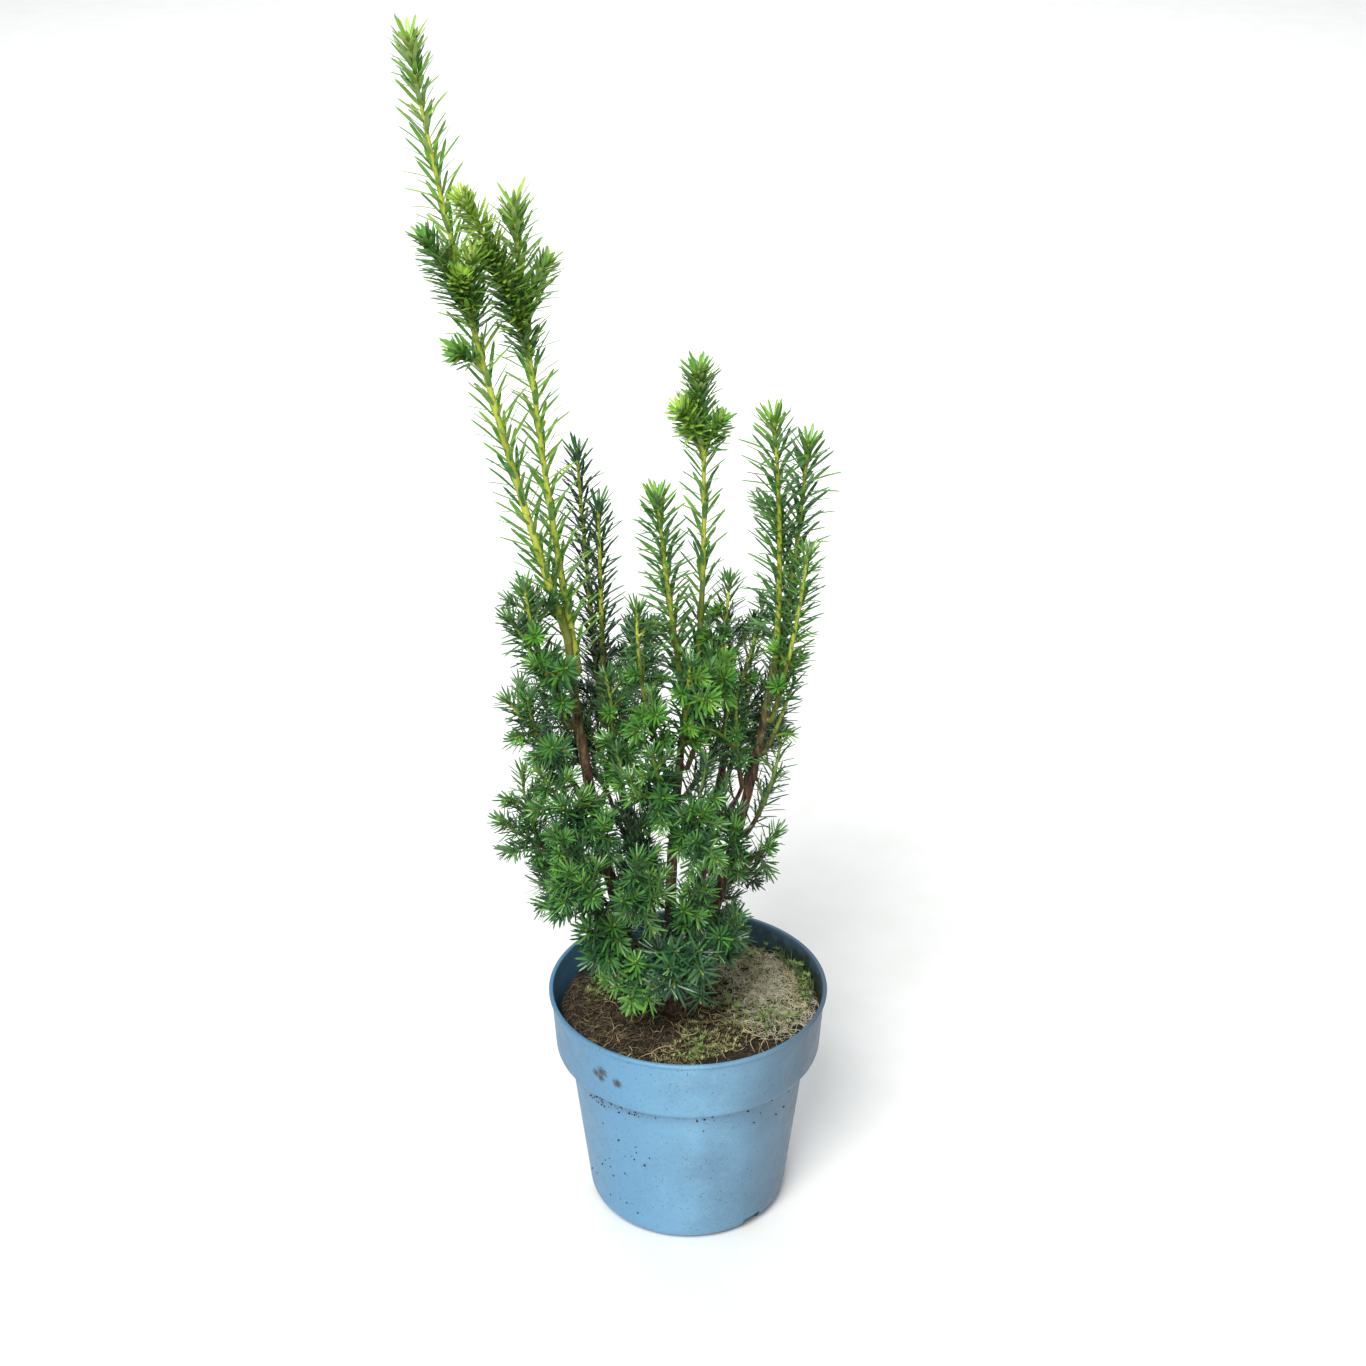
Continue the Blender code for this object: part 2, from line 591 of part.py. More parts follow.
def closest(foot, tip, feet, tips):
    """Closest approach of one straight piece to many: the share along each, and the distance."""
    mine = tip - foot
    theirs = tips - feet
    between = foot - feet
    own_square = mine @ mine
    other_square = (theirs * theirs).sum(axis=1)
    cross = theirs @ mine
    own_part = between @ mine
    other_part = (theirs * between).sum(axis=1)
    spread = own_square * other_square - cross * cross
    safe = np.where(spread > 1e-18, spread, 1.0)
    share = np.where(spread > 1e-18, (cross * other_part - own_part * other_square) / safe, 0.0)
    share = np.clip(share, 0.0, 1.0)
    other_share = np.clip((cross * share + other_part) / other_square, 0.0, 1.0)
    share = np.clip((cross * other_share - own_part) / own_square, 0.0, 1.0)
    gap = (foot + share[:, None] * mine) - (feet + other_share[:, None] * theirs)
    return share, other_share, np.linalg.norm(gap, axis=1)


def clear_of_pot(place):
    """True where a point is above the filling inside the rim, or above the rim outside it."""
    across = math.hypot(place[0], place[1])
    floor = SOIL_CROWN_Z + POT_CLEAR
    if across > COLLAR_FOOT_RADIUS - 2.0 * POT_CLEAR:
        floor = POT_HEIGHT + POT_CLEAR
    return place[2] > floor


def limb_frame(paths, limb, share):
    """The point, direction and radius of a limb at a share of its length."""
    points, radii = paths[limb]
    lengths = [(tip - foot).length for foot, tip in zip(points, points[1:])]
    left = share * sum(lengths)
    index = 0
    while index < len(lengths) - 1 and left > lengths[index]:
        left -= lengths[index]
        index += 1
    foot, tip = points[index], points[index + 1]
    radius = radii[index] + (radii[index + 1] - radii[index]) * left / lengths[index]
    return foot.lerp(tip, left / lengths[index]), (tip - foot).normalized(), radius


def start_on(paths, limb, share, out, tip):
    """Where a shoot or bough starts on its limb, a hair clear of it, and in which direction."""
    place, direction, radius = limb_frame(paths, limb, share)
    if share >= 1.0:
        return place + direction * GAP, direction
    side = Vector(out) if out else tip - place
    side = (side - direction * side.dot(direction)).normalized()
    return place + side * (radius + GAP), side


def tapered_points(start, direction, tip, bow, count):
    """A path that leaves its carrier straight, by a short knee, and then follows its arc."""
    knee = start + direction * KNEE
    return [start] + arc(knee, tip, bow, count)


def taper(foot_radius, tip_radius, count):
    """Radii that narrow evenly along a path of count points."""
    return [foot_radius + (tip_radius - foot_radius) * index / (count - 1) for index in range(count)]


def make_trunk(parts, guides, paths, taken, finish):
    """The short flared stock with an arm for each stem, cut flat at the soil."""
    seat = Vector((TRUNK_PLACE.x, TRUNK_PLACE.y, SOIL_CROWN_Z + GAP))
    heights = (0.0, 0.25, 0.5, 1.0)
    radii = (FLARE_RADIUS, 0.46 * (FLARE_RADIUS + TRUNK_RADIUS), TRUNK_RADIUS, TRUNK_TOP_RADIUS)
    stock = [seat + Vector((0.0, 0.0, TRUNK_HEIGHT * height)) for height in heights]
    trunk = tube("trunk", stock, radii, TRUNK_CORNERS, parts)
    taken.add_path(stock, radii, -1, -1)
    arms = []
    for stem in STEMS:
        foot = seat + Vector((0.0, 0.0, ARM_FOOT_HEIGHT))
        tip = Vector(stem.foot)
        rise = (along(tip, Vector(stem.tip), Vector(stem.bow), 0.02) - tip).normalized()
        level = foot.lerp(tip, 0.5)
        bow = Vector((level.x - foot.x, level.y - foot.y, 0.0)) * ARM_BOW
        points = arc(foot, tip - rise * KNEE, bow, 4) + [tip - rise * GAP]
        radii = taper(stem.foot_radius * ARM_FLARE, stem.foot_radius, len(points))
        arm_name = stem.name.replace("stem", "arm")
        paths[arm_name] = (points, radii)
        arms.append(tube(arm_name, points, radii, LIMB_CORNERS, guides))
        taken.add_path(points, radii, -1, -1)
    return union(trunk, arms, finish)


def make_limb(limb, parts, paths, taken, finish):
    """A stem or a bough: one tapering limb with a flat end at its foot and at its tip."""
    tip = Vector(limb.tip)
    bow = Vector(limb.bow)
    if limb.carrier:
        start, direction = start_on(paths, limb.carrier, limb.share, limb.foot, tip)
        points = tapered_points(start, direction, tip, bow, 4)
    else:
        start = Vector(limb.foot)
        points = arc(start, tip, bow, 8)
    radii = taper(limb.foot_radius, limb.tip_radius, len(points))
    paths[limb.name] = (points, radii)
    piece = tube(limb.name, points, radii, LIMB_CORNERS, parts)
    piece.data.materials.append(finish)
    piece.data.shade_smooth()
    piece.data.set_sharp_from_angle(angle=math.radians(50.0))
    taken.add_path(points, radii, -1, -1)
    return piece


class Shoot:
    """One needled shoot: a bare knee, and then rings of corners with a needle on each face between them."""

    def __init__(self, start, direction, tip, bow, foot_radius, dice):
        self.knee = start + direction * KNEE
        self.tip = tip
        self.bow = bow
        length = (tip - self.knee).length
        self.needled = max(2, round((length - BARE_FOOT) / NEEDLE_STEP))
        first = BARE_FOOT / length
        shares = [first + (1.0 - first) * index / self.needled for index in range(self.needled + 1)]
        self.points = [start, self.knee] + [along(self.knee, tip, bow, share) for share in shares]
        self.radii = taper(foot_radius, TWIG_TIP_RADIUS, len(self.points))
        first_turn = dice.uniform(0.0, math.pi)
        self.turns = [first_turn + NEEDLE_TURN * index for index in range(len(self.points))]

    def direction(self, share):
        """The way the shoot runs at a share of its length."""
        ahead = along(self.knee, self.tip, self.bow, min(share + 0.02, 1.0))
        behind = along(self.knee, self.tip, self.bow, max(share - 0.02, 0.0))
        return (ahead - behind).normalized()


def side_shoots(mass, leading, taken, owner, dice):
    """The side shoots of a mass: those that shape its outline, and then those of the seeded rule."""
    shoots = []
    for share, tip in mass.aimed:
        foot = along(leading.knee, leading.tip, leading.bow, share)
        target = Vector(tip)
        rise = (target - foot).normalized()
        bow = (leading.direction(share) - rise) * (AIMED_BOW * (target - foot).length)
        shoots.append(Shoot(foot, rise, target, bow, TWIG_RADIUS, dice))
    turn = dice.uniform(0.0, 360.0)
    for index in range(mass.by_rule):
        share = TWIG_FIRST_SHARE + TWIG_SHARE_SPAN * (index + dice.uniform(0.2, 0.8)) / mass.by_rule
        foot = along(leading.knee, leading.tip, leading.bow, share)
        axis = leading.direction(share)
        across = axis.orthogonal().normalized()
        size = TWIG_LENGTH * dice.uniform(*TWIG_SIZES) * (1.0 - TWIG_SHORTENING * share)
        for _ in range(TWIG_TRIES):
            turn += GOLDEN_TURN
            around = across.copy()
            around.rotate(turn_about(axis, turn))
            lean = math.radians(TWIG_LEAN)
            rise = axis * math.cos(lean) + around * math.sin(lean)
            target = foot + rise * size
            if shoot_is_clear(foot, target, taken, owner):
                shoots.append(Shoot(foot, rise, target, axis * TWIG_BOW, TWIG_RADIUS, dice))
                break
    return shoots


def turn_about(axis, degrees):
    """The rotation by an angle about an axis."""
    return Quaternion(axis, math.radians(degrees))


def shoot_is_clear(foot, target, taken, owner):
    """True where the outer part of a side shoot keeps to its mass's own space."""
    outer = foot.lerp(target, OUTER_SHARE)
    if not (clear_of_pot(outer) and clear_of_pot(target)):
        return False
    return taken.is_clear(outer, target, TWIG_RADIUS, TWIG_TIP_RADIUS, SHOOT_CLEAR, skip_mass=owner)


def grow_shoots(paths, taken):
    """Every mass's main shoot and then its side shoots, with the space that they take."""
    crown = []
    dice = random.Random(SEED)
    number = 0
    for owner, mass in enumerate(MASSES):
        tip = Vector(mass.tip)
        start, direction = start_on(paths, mass.limb, mass.share, mass.out, tip)
        leading = Shoot(start, direction, tip, Vector(mass.bow), mass.radius, dice)
        taken.add_path(leading.points, leading.radii, owner, number)
        crown.append([(number, leading)])
        number += 1
    for owner, mass in enumerate(MASSES):
        leading = crown[owner][0][1]
        for shoot in side_shoots(mass, leading, taken, owner, dice):
            taken.add_path(shoot.points[1:], shoot.radii[1:], owner, number)
            crown[owner].append((number, shoot))
            number += 1
    return crown


def needle_faces(shape, shoot):
    """The side faces past a shoot's bare foot, each with its share of the length and the shoot's direction."""
    first = len(shoot.points) - 1 - shoot.needled
    middles = [(foot + tip) * 0.5 for foot, tip in zip(shoot.points[first:], shoot.points[first + 1:])]
    found = []
    for face in shape.faces:
        centre = face.calc_center_median()
        index = min(range(shoot.needled), key=lambda item: (middles[item] - centre).length_squared)
        share = (index + 0.5) / shoot.needled
        axis = shoot.direction(share)
        level = abs((centre - middles[index]).dot(axis))
        if len(face.verts) == 4 and level < 0.5 * BARE_FOOT:
            found.append((face, share, axis))
    return found


def needle_ribs(root, tip, axis):
    """Three straight lines from a needle's flat root to its tip: its lower edge, middle and upper edge."""
    outer_root = root.lerp(tip, ROOT_SHARE)
    reach = axis * (0.5 * NEEDLE_STEP * (1.0 - ROOT_SHARE))
    return [(outer_root - reach, tip), (outer_root, tip), (outer_root + reach, tip)]


def find_needle(root, side, axis, lean, length, taken, number):
    """A needle's ribs, or None where it would leave the space of its mass."""
    turn = math.radians(lean)
    tip = root + (side * math.sin(turn) + axis * math.cos(turn)) * length
    ribs = needle_ribs(root, tip, axis)
    if not clear_of_pot(tip):
        return None
    for foot, end in ribs:
        if not clear_of_pot(foot):
            return None
        if not taken.is_clear(foot, end, NEEDLE_HALF_THICK, 0.0, NEEDLE_CLEAR, skip_shoot=number):
            return None
    return ribs


def draw_needles(shoots, taken, owner, full_length, dice):
    """Draw faces out to needle tips; a needle that finds no space tries another lean or is skipped."""
    drawn = 0
    for number, shoot, shape in shoots:
        for face, share, axis in needle_faces(shape, shoot):
            lean = LEAN_FOOT + (LEAN_TIP - LEAN_FOOT) * share ** 2 + dice.uniform(-1.0, 1.0) * LEAN_SPREAD
            side = (face.normal - axis * face.normal.dot(axis)).normalized()
            length = full_length * dice.uniform(*NEEDLE_SIZES) * (1.0 - NEEDLE_TAPER * share ** 2)
            root = face.calc_center_median()
            for lean_change, size in NEEDLE_TRIES:
                ribs = find_needle(root, side, axis, lean + lean_change, length * size, taken, number)
                if ribs is not None:
                    made = bmesh.ops.poke(shape, faces=[face])
                    made["verts"][0].co = ribs[1][1]
                    for foot, tip in ribs:
                        taken.add(foot, tip, NEEDLE_HALF_THICK, 0.0, owner, number)
                    drawn += 1
                    break
    return drawn


def make_masses(parts, guides, paths, taken, finish):
    """The foliage: needled shoots, joined mass by mass."""
    crown = grow_shoots(paths, taken)
    dice = random.Random(SEED + 1)
    drawn = 0
    for owner, mass in enumerate(MASSES):
        shapes = []
        pieces = []
        for number, shoot in crown[owner]:
            name = mass.name if not pieces else f"{mass.name}_twig_{number}"
            piece = tube(name, shoot.points, shoot.radii, TWIG_CORNERS, guides, shoot.turns)
            shape = bmesh.new()
            shape.from_mesh(piece.data)
            shape.faces.ensure_lookup_table()
            pieces.append(piece)
            shapes.append((number, shoot, shape))
        full_length = LEADER_NEEDLE_LENGTH if mass.name.startswith("leader") else SPRAY_NEEDLE_LENGTH
        drawn += draw_needles(shapes, taken, owner, full_length, dice)
        for piece, (_, _, shape) in zip(pieces, shapes):
            bmesh.ops.triangulate(shape, faces=shape.faces)
            shape.to_mesh(piece.data)
            shape.free()
        joined = union(pieces[0], pieces[1:], finish)
        guides.objects.unlink(joined)
        parts.objects.link(joined)
    print("needles drawn:", drawn)


def main():
    clear_scene()
    parts = new_collection(PLANT_NAME)
    guides = new_collection("guides")
    plastic = material("pot_plastic", (0.23, 0.45, 0.63), 0.55)
    peat = material("peat", (0.055, 0.032, 0.018), 0.95)
    bark = material("bark", (0.13, 0.065, 0.035), 0.85)
    foliage = material("foliage", (0.045, 0.15, 0.03), 0.5)
    taken = Taken(TAKEN_ROOM)
    paths = {}
    make_pot(parts, guides, plastic)
    make_soil(parts, peat)
    make_trunk(parts, guides, paths, taken, bark)
    for limb in STEMS + BOUGHS:
        make_limb(limb, parts, paths, taken, bark)
    make_masses(parts, guides, paths, taken, foliage)
    bpy.data.collections.remove(guides)


main()
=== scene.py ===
# %% [markdown]
# # A potted hicksii yew
# An upright yew in its nursery pot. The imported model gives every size: a pot, its filling, a forked trunk,
# stems, boughs and foliage masses. This lesson dresses that frame with moulded plastic, peat, bark and
# needles. Everything is in metres, +Z is up and -Y is the plant's front.

# %% Load the frame
import math
import random
from typing import NamedTuple

import bmesh
import bpy
import numpy as np
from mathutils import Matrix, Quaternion, Vector, noise


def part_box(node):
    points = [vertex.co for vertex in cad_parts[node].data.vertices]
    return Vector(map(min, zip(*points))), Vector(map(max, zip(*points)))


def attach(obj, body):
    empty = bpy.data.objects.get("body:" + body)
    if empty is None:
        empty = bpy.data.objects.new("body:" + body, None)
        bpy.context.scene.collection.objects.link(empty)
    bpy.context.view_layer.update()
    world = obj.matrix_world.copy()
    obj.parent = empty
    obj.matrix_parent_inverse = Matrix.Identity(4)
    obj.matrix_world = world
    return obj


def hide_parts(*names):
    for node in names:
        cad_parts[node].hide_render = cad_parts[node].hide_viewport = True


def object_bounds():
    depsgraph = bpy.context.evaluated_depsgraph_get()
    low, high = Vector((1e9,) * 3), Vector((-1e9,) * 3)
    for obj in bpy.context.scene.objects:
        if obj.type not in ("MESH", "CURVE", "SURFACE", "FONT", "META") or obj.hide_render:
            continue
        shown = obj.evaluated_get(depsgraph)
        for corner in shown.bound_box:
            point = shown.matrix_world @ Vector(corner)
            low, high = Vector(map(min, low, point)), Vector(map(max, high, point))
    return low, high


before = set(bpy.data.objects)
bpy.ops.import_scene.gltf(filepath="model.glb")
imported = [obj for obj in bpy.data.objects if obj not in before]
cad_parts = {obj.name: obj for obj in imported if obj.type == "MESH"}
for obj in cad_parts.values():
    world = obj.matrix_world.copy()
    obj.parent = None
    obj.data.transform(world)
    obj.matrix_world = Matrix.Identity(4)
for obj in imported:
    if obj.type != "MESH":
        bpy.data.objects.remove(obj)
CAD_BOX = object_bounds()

print("nodes in the frame:", len(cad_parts))
print("box of the frame:", [round(value, 4) for corner in CAD_BOX for value in corner])

# %% [markdown]
# ## Colours and nodes
# Colours are read off swatches as sRGB hex codes, and a shader needs them linear, so one function turns
# them. A material's pattern is a chain of small nodes. One helper adds a node, sets its values and
# links what feeds it, which keeps each recipe to a few readable lines.

# %% One function for colours, one for nodes, one for a finish
def linear(code):
    """The linear red, green, blue and alpha of an sRGB hex colour."""
    parts = [int(code[at:at + 2], 16) / 255.0 for at in (1, 3, 5)]
    return (*(part / 12.92 if part <= 0.04045 else ((part + 0.055) / 1.055) ** 2.4 for part in parts), 1.0)


def add_node(tree, kind, settings, links=()):
    """A node with its settings; a capital or a number names a socket, and links feed sockets."""
    node = tree.nodes.new("ShaderNode" + kind)
    for name, value in settings.items():
        if isinstance(name, int) or name[0].isupper():
            node.inputs[name].default_value = value
        else:
            setattr(node, name, value)
    for name, source in dict(links).items():
        tree.links.new(source, node.inputs[name])
    return node


def new_finish(name, roughness, ior):
    """A Principled material and its tree, shader and object coordinates in metres."""
    made = bpy.data.materials.new(name)
    made.use_nodes = True
    tree = made.node_tree
    shader = tree.nodes["Principled BSDF"]
    shader.inputs["Roughness"].default_value = roughness
    shader.inputs["IOR"].default_value = ior
    place = add_node(tree, "TexCoord", {}).outputs["Object"]
    return made, tree, shader, place

# %% [markdown]
# A pattern becomes a mask by taking the share between two of its values. Masks mix colours, and a height
# gives relief, with its real depth, so that a flake or a pore keeps its size in any light.

# %% Shares, mixes and relief
def share_between(tree, value, low, high, settings=()):
    """The share, from 0 to 1, of a value between low and high."""
    node = add_node(tree, "MapRange", {"From Min": low, "From Max": high, **dict(settings)}, {"Value": value})
    return node.outputs["Result"]


def mixed(tree, share, first, second):
    """Two colours mixed by a share; each is a hex code or a node's output."""
    settings, links = {"data_type": "RGBA"}, {0: share}
    for socket, colour in ((6, first), (7, second)):
        if isinstance(colour, str):
            settings[socket] = linear(colour)
        else:
            links[socket] = colour
    return add_node(tree, "Mix", settings, links).outputs[2]


def bumped(tree, shader, height, distance, strength=1.0):
    """Feed a height to a shader's normal; distance is the relief's real depth."""
    bump = add_node(tree, "Bump", {"Strength": strength, "Distance": distance}, {"Height": height})
    tree.links.new(bump.outputs["Normal"], shader.inputs["Normal"])


def two_tone(name, dark, light, size, roughness, ior):
    """A finish for small parts: two close colours in patches of size millimetres, with slight relief."""
    made, tree, shader, place = new_finish(name, roughness, ior)
    patch = add_node(tree, "TexNoise", {"Scale": 1.0 / (size * MILLIMETRE), "Detail": 2.0}, {"Vector": place})
    tint = mixed(tree, share_between(tree, patch.outputs["Fac"], 0.35, 0.65), dark, light)
    tree.links.new(tint, shader.inputs["Base Color"])
    bumped(tree, shader, patch.outputs["Fac"], 0.2 * MILLIMETRE)
    return made


MILLIMETRE = 0.001
print("a mid blue is", [round(part, 3) for part in linear("#84B4D6")])

# %% [markdown]
# ## Meshes from arrays
# The plant has thousands of needles, fibres and crumbs. One object for each would be slow and would be
# lost in an export, so each kind is worked out as arrays of points and faces and becomes one joined mesh.
# A swept tube, rings of corners round a path, serves for stems, twigs and fibres alike.

# %% Joined meshes and swept tubes
def joined(parts):
    """Several (points, faces) joined into one."""
    points, faces, start = [], [], 0
    for some_points, some_faces in parts:
        points.append(some_points)
        faces.append(np.asarray(some_faces) + start)
        start += len(some_points)
    return np.concatenate(points), np.concatenate(faces)


def placed(name, data):
    """A new object in the scene, with its mesh, camera or light."""
    made = bpy.data.objects.new(name, data)
    bpy.context.scene.collection.objects.link(made)
    return made


def applied(piece):
    """Turn a piece's modifiers into its mesh, still without a finish."""
    bpy.context.view_layer.update()
    piece.data = bpy.data.meshes.new_from_object(piece.evaluated_get(bpy.context.evaluated_depsgraph_get()))
    piece.modifiers.clear()
    piece.data.materials.clear()


def new_piece(name, points, faces, finishes, slot, stands_for=(), which=None, sharp=None):
    """A joined mesh that rides on the plant's one body; which gives each face's finish."""
    mesh = bpy.data.meshes.new(name)
    corners = faces.shape[1]
    mesh.vertices.add(len(points))
    mesh.vertices.foreach_set("co", np.asarray(points, np.float32).ravel())
    mesh.loops.add(faces.size)
    mesh.loops.foreach_set("vertex_index", faces.astype(np.int32).ravel())
    mesh.polygons.add(len(faces))
    mesh.polygons.foreach_set("loop_start", np.arange(0, faces.size, corners, dtype=np.int32))
    for finish in finishes:
        mesh.materials.append(finish)
    if which is not None:
        mesh.polygons.foreach_set("material_index", np.asarray(which, np.int32))
    mesh.update(calc_edges=True)
    mesh.shade_smooth()
    if sharp is not None:
        mesh.set_sharp_from_angle(angle=math.radians(sharp))
    settled(placed(name, mesh), stands_for)


def settled(piece, stands_for=()):
    """Let a piece ride on the plant's body, and hide the nodes that it stands for."""
    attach(piece, "root")
    if stands_for:
        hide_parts(*stands_for)
    print(piece.name, "has", sum(len(face.vertices) - 2 for face in piece.data.polygons), "triangles")

# %% [markdown]
# A tube could be a curve with a bevel. Here it is rings of corners round a path, because thousands of
# them are worked out at once and need no conversion. Each ring's side is carried on from the ring before,
# so that a tube doesn't twist.

# %% Rings and swept tubes
def strip(rows, corners):
    """The quads between rows of rings."""
    row, corner = np.divmod(np.arange((rows - 1) * corners), corners)
    after = row * corners + (corner + 1) % corners
    return np.stack([row * corners + corner, after, after + corners, (row + 1) * corners + corner], axis=1)


def unit(rows):
    """Each row at length one."""
    return rows / np.linalg.norm(rows, axis=-1, keepdims=True)


def sweep(path, radii, corners):
    """A tube round a path, with no twist."""
    path = np.asarray(path, float)
    ahead = unit(np.gradient(path, axis=0))
    side = np.cross(ahead[0], (0.31, 0.87, -0.38))
    turns = 2.0 * math.pi * np.arange(corners) / corners
    rings = []
    for place, axis, radius in zip(path, ahead, radii):
        side = unit(side - axis * (side @ axis))
        other = np.cross(axis, side)
        rings.append(place + radius * (np.outer(np.cos(turns), side) + np.outer(np.sin(turns), other)))
    return np.concatenate(rings), strip(len(path), corners)

# %% [markdown]
# ## The camera
# The plant was looked down on from above its top. The rim's ellipse and the pot's straight taper give a
# tilt of 27.8 degrees and a distance of about 1.7 metres from the plant's middle, with a short telephoto
# lens. The camera stays level from side to side, so the leaning leaders keep their true lean.

# %% A camera that looks down 27.8 degrees
CAMERA_TILT, CAMERA_PLACE = 27.8, (-0.0034, -1.475, 1.178)
camera_data = bpy.data.cameras.new("camera")
camera_data.lens = 68.52
camera_data.clip_start = 0.05
camera_data.clip_end = 60.0
camera = placed("camera", camera_data)
camera.location = CAMERA_PLACE
camera.rotation_euler = (math.radians(90.0 - CAMERA_TILT), 0.0, 0.0)
bpy.context.scene.camera = camera
print("camera stands", round(camera.location.length, 2), "metres from the pot's foot")

# %% [markdown]
# ## Soft light and a pale floor
# The yew stood in open shade: one broad bright side at the upper left, and light from everywhere else.
# A large square light stands in for the bright sky and a pale world fills the shadows. The floor is a
# wide sheet of matt white paper, drawn up at its far edge so that no horizon shows, and a second light
# turned away from the plant keeps the paper behind it as bright as the paper in front.

# %% Sky, key light and floor
scene = bpy.context.scene
scene.view_settings.view_transform = "Standard"
world = bpy.data.worlds.new("open_shade")
scene.world = world
world.use_nodes = True
sky = world.node_tree.nodes["Background"]
sky.inputs["Color"].default_value = linear("#F4F8FC")
sky.inputs["Strength"].default_value = 0.43


def add_light(name, place, aim, size, watts, colour):
    """A square light that faces a point."""
    data = bpy.data.lights.new(name, "AREA")
    data.size = size
    data.energy = watts
    data.color = linear(colour)[:3]
    light = placed(name, data)
    light.location = place
    light.rotation_euler = (Vector(aim) - Vector(place)).to_track_quat("-Z", "Y").to_euler()


add_light("bright_sky", (-0.70, -2.15, 2.70), (-0.03, 0.0, 0.30), 1.4, 118.0, "#FFFEFA")
add_light("paper_light", (0.0, 1.9, 2.6), (0.0, 4.1, 0.0), 2.6, 90.0, "#FFFFFF")

paper, tree, shader, place = new_finish("matt_white_paper", 0.85, 1.45)
grain = add_node(tree, "TexNoise", {"Scale": 1.0 / (40.0 * MILLIMETRE)}, {"Vector": place})
soft = share_between(tree, grain.outputs["Fac"], 0.3, 0.7)
tree.links.new(mixed(tree, soft, "#F3F3F1", "#F7F7F6"), shader.inputs["Base Color"])
# The paper runs flat from behind the camera to far behind the plant, then bends up; it lies 0.2 mm low
FRONT_EDGE, BEND_START, BEND_RADIUS, HALF_WIDTH, LOWERED = -9.0, 7.0, 5.0, 14.0, 0.0002
profile = [(FRONT_EDGE, 0.0), (BEND_START, 0.0)]
for turn in 0.5 * math.pi * np.linspace(0.0, 1.0, 25)[1:]:
    profile.append((BEND_START + BEND_RADIUS * math.sin(turn), BEND_RADIUS * (1.0 - math.cos(turn))))
mesh = bpy.data.meshes.new("floor")
corners = [(side * HALF_WIDTH, y, z - LOWERED) for y, z in profile for side in (-1.0, 1.0)]
mesh.from_pydata(corners, [], [(2 * k, 2 * k + 1, 2 * k + 3, 2 * k + 2) for k in range(len(profile) - 1)])
mesh.materials.append(paper)
mesh.shade_smooth()
floor = placed("floor", mesh)
print("floor of", len(mesh.polygons), "faces")

# %% [markdown]
# ## The pot's plastic
# The pot is injection-moulded polypropylene, coloured light blue in the mass. It comes off the mould with a
# satin skin and slight waves where it cooled. After a season outdoors it shows faint weathering a few
# centimetres wide, flecks of peat under a millimetre across, a few scuffs and a smudge where it was held.
# Each mark is a node mask, so that no picture is needed. The flecks are one random point in each cell of a
# Voronoi pattern, kept where the cell's own random colour says so.

# %% Moulded polypropylene with its flecks and smudges
# The middle of each mark, and its radius in millimetres
SMUDGES = (((-0.0570, -0.0720, 0.1470), 5.4), ((-0.0580, -0.0712, 0.1418), 4.4),
           ((-0.0612, -0.0686, 0.1440), 3.8), ((-0.0469, -0.0788, 0.1425), 4.6))
SCUFFS = (((0.0219, -0.0678, 0.0366), 2.2), ((0.0735, -0.0552, 0.1478), 2.0),
          ((-0.0488, -0.0594, 0.0854), 1.3))
DOTS = (((-0.0060, -0.0798, 0.1144), 1.1), ((0.0267, -0.0754, 0.1143), 1.1),
        ((-0.0013, -0.0760, 0.0781), 1.0), ((0.0156, -0.0722, 0.0590), 0.9),
        ((-0.0360, -0.0640, 0.0960), 0.9))
# Kinds of mark: how far a noise breaks up their edges, their strength and their colour
MARKS = ((SMUDGES, 1.4, 0.95, "#33363A"), (SCUFFS, 2.2, 0.40, "#57626A"), (DOTS, 0.5, 0.85, "#3B3531"))
# Painted shade towards the left side: where along X it starts and where it is full, its strength and its
# colour
PAINTED_LEFT_SHADE = ((0.0, -0.045, 0.75, "#5A92B9"), (-0.045, -0.085, 0.75, "#4F7C9C"))
# Flecks: the cell's size in millimetres, the fleck's radius as a share of it, the least chance, the colour
FLECKS = ((3.4, 0.170, 0.46, "#40362F"), (1.7, 0.25, 0.54, "#46606F"))
CREASE_Z, CREASE_EDGE, CREASE_CORE = 0.1165, 0.0062, 0.0008


def marks(tree, place, spots, break_up, reach):
    """A mask that is 1 inside any of the round spots, with edges broken up by a noise."""
    mask = None
    for centre, radius in spots:
        size = radius * MILLIMETRE
        apart = add_node(tree, "VectorMath", {"operation": "DISTANCE", 1: centre}, {0: place})
        ragged = add_node(tree, "Math", {"operation": "MULTIPLY_ADD", 1: reach * size},
                          {0: break_up, 2: apart.outputs["Value"]}).outputs["Value"]
        spot = share_between(tree, ragged, (1.0 + 0.5 * reach) * size, (0.3 + 0.5 * reach) * size)
        if mask is None:
            mask = spot
        else:
            mask = add_node(tree, "Math", {"operation": "MAXIMUM"}, {0: mask, 1: spot}).outputs["Value"]
    return mask
